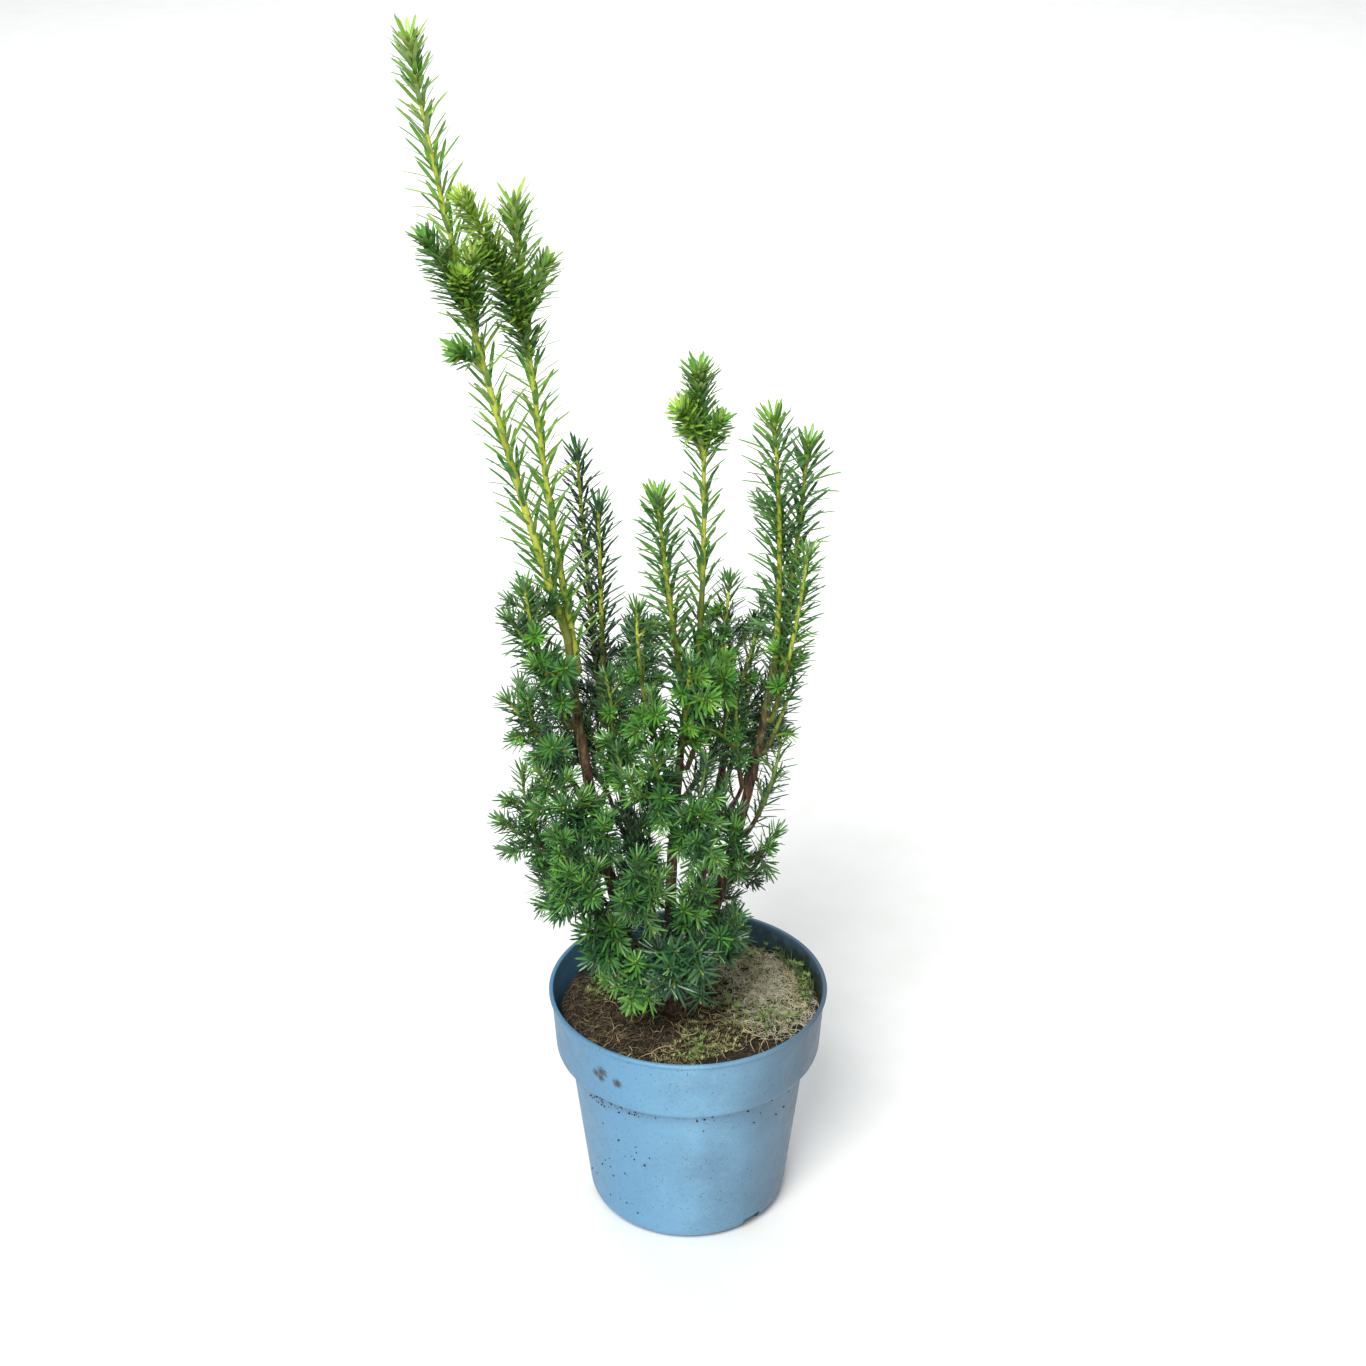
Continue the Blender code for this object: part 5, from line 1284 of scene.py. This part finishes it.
mesh = bpy.data.meshes.new("bark")
mesh.from_pydata(points, [], faces)
bark = placed("bark", mesh)
remesh = bark.modifiers.new("fuse", "REMESH")
remesh.mode = "VOXEL"
remesh.voxel_size = VOXEL
even = bark.modifiers.new("even", "SMOOTH")
even.factor, even.iterations = 0.5, 3
applied(bark)

# %% [markdown]
# The flakes are real relief, because the low stems stand against the light: two sizes of noise move each
# point along its normal by up to half a millimetre.

# %% Flakes raised on the skin
count = len(bark.data.vertices)
places, normals = np.zeros(count * 3), np.zeros(count * 3)
bark.data.vertices.foreach_get("co", places)
bark.data.vertices.foreach_get("normal", normals)
places, normals = places.reshape(-1, 3), normals.reshape(-1, 3)
raised = np.zeros(count)
for wide, tall, deep in FLAKES:
    raised += [deep * noise.noise(Vector((x / wide, y / wide, z / tall))) for x, y, z in places]
bark.data.vertices.foreach_set("co", (places + normals * raised[:, None]).ravel())
bark.data.update()
bark.data.shade_smooth()

# %% [markdown]
# The finish follows the same grain. Two noises stretched along the stem give red-brown bark, pale lifted
# flakes and dark splits, and the wood turns olive with height.

# %% The bark's finish
# Bark is dead cork, matt, with an index near 1.5; of its flakes of 2 by 9 mm some are lifted and pale, and
# some have fallen and left a dark split
yew_bark, tree, shader, place = new_finish("scaly_yew_bark", 0.78, 1.5)
stretched = add_node(tree, "Mapping", {"Scale": (1.0, 1.0, 0.22)}, {"Vector": place}).outputs["Vector"]
patches, streaks = (
    add_node(tree, "TexNoise", {"Scale": 1.0 / (size * MILLIMETRE), "Detail": detail},
             {"Vector": stretched}).outputs["Fac"]
    for size, detail in ((7.0, 3.0), (2.0, 4.0)))
colour = mixed(tree, share_between(tree, patches, 0.38, 0.62), "#33221A", "#5E4231")
colour = mixed(tree, share_between(tree, streaks, 0.54, 0.66, {"To Max": 0.75}), colour, "#8C6E52")
# Higher than about 0.4 m the wood is young and olive
height_up = add_node(tree, "SeparateXYZ", {}, {"Vector": place}).outputs["Z"]
young = add_node(tree, "Math", {"operation": "MULTIPLY_ADD", 1: 0.05}, {0: streaks, 2: height_up})
young = share_between(tree, young.outputs["Value"], 0.37, 0.46, {"To Max": 0.85})
colour = mixed(tree, young, colour, "#7F8239")
split = share_between(tree, streaks, 0.36, 0.44)
colour = mixed(tree, split, "#22140F", colour)
tree.links.new(colour, shader.inputs["Base Color"])
relief = add_node(tree, "Math", {"operation": "MULTIPLY_ADD", 1: 0.5}, {0: streaks, 2: split})
bumped(tree, shader, relief.outputs["Value"], 0.35 * MILLIMETRE)
bark.data.materials.append(yew_bark)
settled(bark, ["trunk"] + [limb.name for limb in STEMS + BOUGHS])

# %% [markdown]
# ## Shoots
# This year's shoots are green and turn yellow-green on the fast leaders; last year's are olive-brown near
# their foot. Each shoot is a tapering tube along the path that it grew by. The tubes join into two meshes, so
# that young and old wood each have one plain finish.

# %% Green and woody shoots
OLD_WOOD_TOP, LEADING_GROWTH, TURNING_GREEN, SHOOT_STEP = 0.40, 1.32, (0.33, 0.43), 0.0045
# The woody share of a shoot, by its grade, where it starts below the height of old wood and above it
WOODY_BELOW, WOODY_ABOVE = {1: 0.45, 2: 0.25, 3: 0.0}, {1: 0.07, 2: 0.0, 3: 0.0}


def shoot_path(shoot):
    """Points and radii along a shoot, from inside its carrier to its tip."""
    count = max(4, int(shoot.length / SHOOT_STEP))
    path = [shoot.points[0] - (shoot.knee - shoot.points[0]) * 0.3, shoot.points[0]]
    path += [along(shoot.knee, shoot.tip, shoot.bow, index / count) for index in range(count + 1)]
    return np.array([tuple(point) for point in path]), taper(shoot.radii[0], shoot.radii[-1], len(path))


def waxy_shoot(name, dark, light, fleck, top=()):
    """A smooth living shoot with a thin wax skin, streaked lengthways; top gives its two colours high up."""
    made, tree, shader, place = new_finish(name, 0.5, 1.43)
    stretched = add_node(tree, "Mapping", {"Scale": (1.0, 1.0, 0.35)}, {"Vector": place}).outputs["Vector"]
    streaks = add_node(tree, "TexNoise", {"Scale": 1.0 / (3.0 * MILLIMETRE), "Detail": 3.0},
                       {"Vector": stretched}).outputs["Fac"]
    wide = add_node(tree, "TexNoise", {"Scale": 1.0 / (30.0 * MILLIMETRE)}, {"Vector": place})
    patchy = share_between(tree, wide.outputs["Fac"], 0.35, 0.65)
    colour = mixed(tree, patchy, dark, light)
    if top:
        height_up = add_node(tree, "SeparateXYZ", {}, {"Vector": place}).outputs["Z"]
        turning = share_between(tree, height_up, *TURNING_GREEN)
        colour = mixed(tree, turning, colour, mixed(tree, patchy, *top))
    colour = mixed(tree, share_between(tree, streaks, 0.55, 0.72, {"To Max": 0.6}), colour, fleck)
    tree.links.new(colour, shader.inputs["Base Color"])
    bumped(tree, shader, streaks, 0.3 * MILLIMETRE)
    return made


green, woody = [], []
for shoot in shoots:
    path, radii = shoot_path(shoot)
    woody_share = WOODY_ABOVE if path[0, 2] > OLD_WOOD_TOP else WOODY_BELOW
    old = int(len(path) * woody_share[shoot.grade])
    if shoot.grade == 1:
        radii = [radius * LEADING_GROWTH for radius in radii]
    if old > 1:
        woody.append(sweep(path[:old + 1], radii[:old + 1], 8))
    green.append(sweep(path[old:], radii[old:], 8))
masses = [mass.name for mass in MASSES]
green_skin = waxy_shoot("green_shoot_skin", "#4E6B33", "#728F42", "#6E6C34", ("#A0B03E", "#CBD154"))
woody_skin = waxy_shoot("woody_shoot_skin", "#43331F", "#5A4F2C", "#6A412B", ("#767E35", "#8E9440"))
new_piece("green_shoots", *joined(green), [green_skin], "foliage", masses)
new_piece("woody_shoots", *joined(woody), [woody_skin], "bark")

# %% [markdown]
# ## Needles
# A hicksii yew needle is a flat blade, up to 25 mm long and under 3 mm wide, with even sides, a short
# point, a raised rib and a paler underside. Its base runs down the shoot as a thin ridge before the stalk
# turns it outwards. Needles stand all round an upright shoot, each a golden turn on from the last, and close
# up round the bud. One needle is five rings of three corners, two edges and a rib, and a tip; numpy places
# thousands of them at once.

# %% One needle, as rings of three corners
RINGS = (
    # share of the blade, half width and rise of the rib in millimetres; the first ring is the ridge's foot
    (None, 0.28, 0.22), (0.0, 0.34, 0.26), (0.16, 0.90, 0.30), (0.55, 1.05, 0.34), (0.86, 0.78, 0.26))
NEEDLE_RIDGE, RIDGE_SUNK, FOOT_RAISED = 0.0032, 0.00015, 0.0002
ring_faces = strip(len(RINGS), 3)
tip_index = 3 * len(RINGS)
tip_faces = [(tip_index - 3 + side, tip_index - 3 + (side + 1) % 3, tip_index) for side in range(3)]
NEEDLE_FACES = np.concatenate((ring_faces[:, [0, 1, 2]], ring_faces[:, [0, 2, 3]], tip_faces))
sides = np.concatenate((np.tile(np.arange(3), len(RINGS) - 1),) * 2 + (np.arange(3),))
NEEDLE_UNDERSIDE = (sides == 1).astype(int)
print("triangles in a needle:", len(NEEDLE_FACES))


def needle_points(place, axis, side, radius, lean, length, twist, curl, width):
    """The points of many needles at once; each argument has one row for each needle."""
    sine, cosine = np.sin(lean)[:, None], np.cos(lean)[:, None]
    ahead = side * sine + axis * cosine
    flat_top = axis * sine - side * cosine
    up = np.array((0.0, 0.0, 1.0)) - ahead * ahead[:, 2:3]
    top = unit(flat_top + up * twist[:, None])
    root = place + side * (radius[:, None] + FOOT_RAISED)
    rows = []
    for share, half, rib in RINGS:
        if share is None:
            middle = place + side * (radius[:, None] - RIDGE_SUNK) - axis * NEEDLE_RIDGE
            across, above = np.cross(axis, -side), -side
        else:
            ends = flat_top if share == 0.0 else top
            middle = root + ahead * (length * share)[:, None] - top * (curl * length * share ** 2)[:, None]
            across, above = np.cross(ahead, ends), ends
        for way_across, way_up in ((0.0, rib), (half, 0.0), (-half, 0.0)):
            wide = way_across * MILLIMETRE * width[:, None]
            rows.append(middle + across * wide + above * (way_up * MILLIMETRE))
    rows.append(root + ahead * length[:, None] - top * (curl * length)[:, None])
    return np.stack(rows, axis=1)

# %% [markdown]
# ## How each shoot is dressed
# The photo shows three kinds. Long leaders are sparse, with yellow-green stems and needles of 24 mm at 45
# degrees. Shoots of the upper half are mid green. The lower and back shoots are dense and dark blue-green,
# with needles of only 12 to 16 mm and brighter stars at their tips. A style gives needles per centimetre,
# length, lean at foot and tip, a tone from dark to young green, and how wide the needles and how long the
# crowded tip are; the side shoots of a leader bear short needles too. Each shoot is dealt its colours from
# the tones as a whole spray.

# %% Styles of the masses
class Style(NamedTuple):
    """How the shoots of one mass are dressed: lengths in metres, leans in degrees."""
    per_cm: float
    length: float
    lean_foot: float
    lean_tip: float
    tone: float
    tip_gain: float
    width: float = 1.15
    tuft: float = 0.013
    side_length: float = 0.0155
    side_width: float = 0.78
    side_per_cm: float = 14.0
    crowding: float = 0.42
    tip_size: float = 0.70


STYLES = {}
for group, style in (
        (LOWER_MASSES, Style(14.0, 0.0150, 64.0, 38.0, 3.2, 1.6, 0.70, 0.011, 0.0145, 0.70)),
        # The back shoots are dealt a darker tone than the rest: painted shade of the crown's inside
        (BACK_MASSES, Style(13.0, 0.0155, 62.0, 34.0, 1.7, 1.2, 0.75, 0.011, 0.0150, 0.74)),
        (UPPER_MASSES, Style(13.5, 0.0170, 58.0, 32.0, 3.9, 1.4, 0.85, 0.013, 0.0160, 0.82))):
    STYLES.update({mass.name: style for mass in group})
STYLES.update({
    "leader_tall": Style(6.8, 0.0245, 42.0, 34.0, 6.5, 1.2, 1.40, 0.050, 0.0180, 1.20, 22.0, 0.34, 0.72),
    "leader_inner": Style(7.2, 0.0240, 46.0, 34.0, 5.8, 1.0, 1.40, 0.080, 0.0180, 1.20, 22.0, 0.34, 0.75),
    "leader_middle_left": Style(14.5, 0.0205, 54.0, 32.0, 4.5, 1.2, 1.15, 0.020),
    "leader_middle": Style(6.6, 0.0205, 42.0, 48.0, 6.0, 1.2, 1.30, 0.060, 0.0155, 1.15, 19.0, 0.13, 0.76),
    "leader_right": Style(12.0, 0.0240, 56.0, 34.0, 4.7, 1.4, 1.30, 0.020, 0.0180, 1.0),
    "leader_right_outer": Style(12.0, 0.0230, 54.0, 34.0, 4.1, 1.4, 1.25, 0.020, 0.0170, 0.95),
    "spray_left_outer": Style(11.0, 0.0185, 58.0, 34.0, 3.6, 1.4, 0.95, 0.013, 0.0170, 0.9),
    "spray_right_outer": Style(11.0, 0.0180, 56.0, 34.0, 4.3, 1.4, 0.92, 0.013, 0.0165, 0.85),
    "spray_right_mid": Style(9.0, 0.0150, 60.0, 36.0, 3.3, 1.4, 0.72, 0.011, 0.0140, 0.66, 9.0),
    "spur_right": Style(9.0, 0.0150, 60.0, 36.0, 3.6, 1.4, 0.72, 0.011, 0.0140, 0.66, 9.0),
    "spray_right_small": Style(9.5, 0.0150, 60.0, 36.0, 3.6, 1.4, 0.74, 0.011, 0.0140, 0.68, 9.0),
    "spray_middle_left": Style(13.5, 0.0170, 58.0, 32.0, 3.9, 1.6, 0.85),
    "skirt_front": Style(11.5, 0.0250, 82.0, 62.0, 2.3, 0.8, 1.00, 0.020, 0.0215, 0.90, 11.0),
    "skirt_left": Style(11.0, 0.0160, 74.0, 58.0, 3.6, 1.8, 1.05, 0.012, 0.0140, 0.85, 12.0),
    "skirt_right": Style(12.0, 0.0175, 68.0, 44.0, 2.2, 1.6, 0.80),
})
for name in ("leader_back_left", "leader_back_middle"):
    STYLES[name] = Style(11.5, 0.0190, 50.0, 30.0, 2.6, 1.2, 1.05)
for name in ("spray_left_skirt", "skirt_far_left"):
    STYLES[name] = Style(13.0, 0.0205, 64.0, 38.0, 2.7, 1.8, 0.88, 0.013, 0.0195, 0.88, 15.0)
print("kinds of dress:", len(set(STYLES.values())), "for", len(STYLES), "masses")

# %% [markdown]
# All the needles of a shoot are worked out together, one row of an array for each. The dice give each its
# own lean, size, curl and shade, so that no two are alike.

# %% The needles of one shoot
# A side shoot's needles: least lean at the foot, longest tuft, crowding, size at the tip, most brightening
SIDE_LEAN, SIDE_TUFT, SIDE_CROWDING, SIDE_TIP_SIZE, SIDE_GAIN = 52.0, 0.014, 0.42, 0.70, 1.3
TIP_REACH, LEAN_SPREAD, SHADE_SPREAD, FINE_SHORTER = 0.022, 15.0, 0.95, 0.88
SIZES, WIDTHS, CURLS, TONE_RANGE, GAINS = (0.74, 1.10), (0.86, 1.10), (0.02, 0.17), (-0.7, 0.7), (0.5, 1.2)
# The bare length at a shoot's foot, by its grade, and how far the steps between needles vary
BARE_START, STEP_RANGE = {1: 0.0065, 2: 0.0065, 3: 0.004}, (0.85, 1.15)
GOLDEN = math.radians(GOLDEN_TURN)


def shoot_stations(shoot, per_cm, tuft, crowding, dice):
    """Shares along a shoot where its needles stand, closer together in the tuft at its tip."""
    step, walked, stations = 0.01 / per_cm, BARE_START[shoot.grade], []
    while walked < shoot.length - 0.0008:
        stations.append(walked / shoot.length)
        left = shoot.length - walked
        closeness = crowding + (1.0 - crowding) * min(1.0, left / tuft) ** 2
        walked += step * closeness * dice.uniform(*STEP_RANGE)
    return np.array(stations)


def dress(shoot, style, tone_change, dice):
    """The needles of one shoot, as arrays with one row for each."""
    per_cm, long, lean_foot, lean_tip, tone, tip_gain, wide, tuft, *side_values, crowding, tip_size = style
    if shoot.grade > 1:
        long, wide, per_cm = side_values
        crowding, tip_size = SIDE_CROWDING, SIDE_TIP_SIZE
        lean_foot, tuft, tip_gain = max(lean_foot, SIDE_LEAN), min(tuft, SIDE_TUFT), min(tip_gain, SIDE_GAIN)
    share = shoot_stations(shoot, per_cm, tuft, crowding, dice)
    count = len(share)
    # Where each needle stands, which way its shoot runs there, and the side that it leaves from
    knee, tip, bow = (np.array(tuple(vector)) for vector in (shoot.knee, shoot.tip, shoot.bow))
    place = knee + (tip - knee) * share[:, None] + bow * (4.0 * share * (1.0 - share))[:, None]
    axis = unit((tip - knee) + bow * (4.0 - 8.0 * share)[:, None])
    guide = np.array((0.62, -0.35, 0.21))
    first = unit(guide - axis * (axis @ guide)[:, None])
    second = np.cross(axis, first)
    turn = shoot.turn + GOLDEN * np.arange(count)
    side = first * np.cos(turn)[:, None] + second * np.sin(turn)[:, None]
    # Needles lean closer to the shoot near its tip, and are shorter at its foot and in its tuft
    left = shoot.length * (1.0 - share)
    near_tip = np.clip(1.0 - left / TIP_REACH, 0.0, 1.0)
    spread = np.array([dice.uniform(-1.0, 1.0) for _ in range(count)])
    lean = np.radians(lean_foot + (lean_tip - lean_foot) * near_tip ** 1.3 + LEAN_SPREAD * spread)
    size = np.array([dice.uniform(*SIZES) for _ in range(count)])
    start_size = np.clip(0.72 + share * shoot.length / 0.05, 0.0, 1.0)
    in_tuft = np.clip(1.0 - left / max(TIP_REACH, 1.2 * tuft), 0.0, 1.0)
    length = long * size * start_size * (1.0 - (1.0 - tip_size) * in_tuft ** 0.7)
    if shoot.grade == 3:
        length = length * FINE_SHORTER
    # On a level shoot the blades twist to face the light
    level = np.clip(1.0 - np.abs(axis[:, 2]), 0.0, 1.0)
    twist = 0.15 + 0.9 * level + 0.2 * spread
    curl = np.array([dice.uniform(*CURLS) for _ in range(count)]) * (1.0 - near_tip) - 0.05 * near_tip
    width = wide * np.array([dice.uniform(*WIDTHS) for _ in range(count)]) * (1.0 - 0.12 * near_tip)
    radius = shoot.radii[0] + (shoot.radii[-1] - shoot.radii[0]) * share
    # The whole spray shares one tone, which brightens in two steps towards the tip
    own_tone = tone + tone_change + dice.uniform(*TONE_RANGE)
    brightening = tip_gain * dice.uniform(*GAINS) * np.round(near_tip * 2.0) / 2.0
    shade = own_tone + brightening - 0.8 * (share < 0.3) + SHADE_SPREAD * spread
    return place, axis, side, radius, lean, length, twist, curl, width, shade

# %% [markdown]
# Every shoot is dressed, and needles that would run into the pot or a limb are left out. One that would
# pass the frame's box is shortened, so that the dressed plant keeps its size.

# %% All the needles of the plant
# Side shoots that are darker or lighter than their leader, in steps of the tones
SIDE_TONES = {"leader_tall": (-2.0, -1.6, -1.0), "leader_inner": (1.7, -0.2, -0.4),
              "leader_middle": (-0.1, 0.2, -0.3)}
# How far needles stay off the pot and the limbs, and how much shorter one that passes the frame's box is
NEEDLE_OVER_POT, NEEDLE_ROOM, SHORTENED = 0.0015, 0.0006, 0.82
dice = random.Random(SEED + 3)
dressed, seen_sides = [], {}
for shoot in shoots:
    mass = MASSES[shoot.owner]
    change = 0.0
    if shoot.grade == 2:
        nth = seen_sides[shoot.owner] = seen_sides.get(shoot.owner, -1) + 1
        changes = SIDE_TONES.get(mass.name, ())
        change = changes[nth] if nth < len(changes) else 0.0
    dressed.append(dress(shoot, STYLES[mass.name], change, dice))
place, axis, side, radius, lean, length, twist, curl, width, shade = (
    np.concatenate(column) for column in zip(*dressed))
tips = place + (side * np.sin(lean)[:, None] + axis * np.cos(lean)[:, None]) * length[:, None]
# A needle whose tip would lie in the pot, or whose blade would run into a limb, is left out
kept = np.array([clear_of_pot(tip, NEEDLE_OVER_POT) for tip in tips])
limb_ends = np.array([ends for ends, owner in zip(taken.ends, taken.owners) if owner < 0])
limb_radii = np.array([radii for radii, owner in zip(taken.radii, taken.owners) if owner < 0])
for index in np.flatnonzero(kept):
    start = place[index] + (tips[index] - place[index]) * 0.25
    mine, theirs, apart = closest(start, tips[index], limb_ends[:, 0], limb_ends[:, 1])
    thick = limb_radii[:, 0] + (limb_radii[:, 1] - limb_radii[:, 0]) * theirs
    kept[index] = (apart > thick + NEEDLE_ROOM).all()
low, high = (np.array(tuple(corner)) for corner in CAD_BOX)
beyond = ((tips < low) | (tips > high)).any(axis=1)
length = np.where(beyond, SHORTENED * length, length)
print("needles:", int(kept.sum()), "of", len(kept))

# %% [markdown]
# A finish could read an attribute of each needle, but nine plain greens do as well: the needles are dealt
# into nine tones, each with a waxy upper side and a paler, duller underside. The needles of a tone join
# into meshes of at most 6,500, which keeps each piece under 200,000 triangles.

# %% Needle finishes and pieces
# The tones of a needle's upper side and of its underside, from old wood to new growth
UPPER_TONES = ("#0F241A", "#183524", "#254A31", "#346039", "#45783C",
               "#57903B", "#6CA43A", "#86B540", "#A6C74E")
UNDER_TONES = ("#4A6650", "#547256", "#5F7F5C", "#6C8B61", "#7C9866",
               "#8FA667", "#A1B56B", "#B2C270", "#C4D07B")


def needle_skin(name, dark, light, roughness):
    """A needle's waxy skin, with an index near 1.43, in two close greens."""
    made, tree, shader, place = new_finish(name, roughness, 1.43)
    shader.inputs["Coat Weight"].default_value = 0.30
    shader.inputs["Coat Roughness"].default_value = 0.28
    patch = add_node(tree, "TexNoise", {"Scale": 1.0 / (11.0 * MILLIMETRE), "Detail": 2.0}, {"Vector": place})
    tint = mixed(tree, share_between(tree, patch.outputs["Fac"], 0.36, 0.64), dark, light)
    tree.links.new(tint, shader.inputs["Base Color"])
    fine_grain = add_node(tree, "TexNoise", {"Scale": 1.0 / (0.9 * MILLIMETRE)}, {"Vector": place})
    bumped(tree, shader, fine_grain.outputs["Fac"], 0.06 * MILLIMETRE)
    return made


values = (place, axis, side, radius, lean, length, twist, curl, width)
tone_of = np.clip(np.floor(shade), 0, len(UPPER_TONES) - 1).astype(int)
MOST_IN_A_PIECE = 6500
for tone, (upper, under) in enumerate(zip(UPPER_TONES, UNDER_TONES)):
    lighter = UPPER_TONES[min(tone + 1, len(UPPER_TONES) - 1)]
    skins = [needle_skin(f"needle_upper_{tone}", upper, lighter, 0.26),
             needle_skin(f"needle_under_{tone}", under, upper, 0.55)]
    all_rows = np.flatnonzero(kept & (tone_of == tone))
    for part, start in enumerate(range(0, len(all_rows), MOST_IN_A_PIECE)):
        rows = all_rows[start:start + MOST_IN_A_PIECE]
        points = needle_points(*(column[rows] for column in values))
        faces = NEEDLE_FACES[None] + np.arange(len(rows))[:, None, None] * points.shape[1]
        new_piece(f"needles_tone_{tone}_{part}", points.reshape(-1, 3), faces.reshape(-1, 3), skins,
                  "foliage", masses, np.tile(NEEDLE_UNDERSIDE, len(rows)), 60.0)

# %% [markdown]
# ## Buds and dry twigs
# Each shoot ends in a bud of small overlapping scales, 2 mm across, olive on young shoots. It fills the
# middle of each star of needles, where a bare tube's end would show. A few dead twigs, thin and dark, cross
# the gap between the middle and right stems.

# %% Buds at the shoot tips
BUD_LENGTH, BUD_RADIUS, BUD_SIZES, FINE_BUD = 0.0026, 0.00095, (0.85, 1.2), 0.8


def bud(place, axis, length, radius):
    """A small pointed bud, as a swept tube that swells and closes."""
    shares = np.array((-0.2, 0.15, 0.5, 0.85, 1.0))
    swell = np.array((0.5, 0.95, 1.0, 0.5, 0.02))
    return sweep(place + np.outer(shares * length, axis), radius * swell, 6)


dice = random.Random(SEED + 4)
buds = []
for shoot in shoots:
    tip, direction = shoot.at(1.0)
    size = dice.uniform(*BUD_SIZES) * (FINE_BUD if shoot.grade == 3 else 1.0)
    tip, direction = np.array(tuple(tip)), np.array(tuple(direction))
    buds.append(bud(tip, direction, BUD_LENGTH * size, BUD_RADIUS * size))
new_piece("buds", *joined(buds), [waxy_shoot("bud_scales", "#5E7A33", "#86A042", "#7A6A38")], "foliage")

# %% [markdown]
# Dead twigs are brown all through, and a pruned knot shows its orange heartwood. Both are dry wood, which
# is matt, with an index near 1.47.

# %% Dry twigs and the knot's cut face
# Three dry twigs, each by its points
DRY_TWIGS = (((0.0356, 0.0030, 0.3025), (0.0290, 0.0000, 0.3170), (0.0202, -0.0050, 0.3322)),
             ((0.0290, 0.0000, 0.3170), (0.0262, 0.0060, 0.3290), (0.0258, 0.0100, 0.3370)),
             ((-0.0012, -0.0085, 0.3622), (0.0045, -0.0070, 0.3665), (0.0095, -0.0080, 0.3720)))
TWIG_RADII, CUT_RADII = (0.0009, 0.0007, 0.0004), (0.0021, 0.0020, 0.0001)
rows = [sweep(*resampled([Vector(place) for place in path], TWIG_RADII, 0.002), 6) for path in DRY_TWIGS]
twig_bark = two_tone("dry_twig_bark", "#3E2A20", "#6A4A34", 4.0, 0.85, 1.47)
new_piece("dry_twigs", *joined(rows), [twig_bark], "bark")
# The knot's cut face is dry heartwood, orange-brown and matt
knot_end = Vector(KNOT[2])
cut_end = [knot_end - Vector((0.0004, -0.0003, 0.0003)), knot_end,
           knot_end + Vector((0.0005, -0.0004, 0.0004))]
rows = [sweep(np.array([tuple(point) for point in cut_end]), CUT_RADII, 12)]
heartwood = two_tone("weathered_heartwood", "#A5622F", "#CB8A4C", 2.0, 0.7, 1.47)
new_piece("knot_cut_face", *joined(rows), [heartwood], "bark")
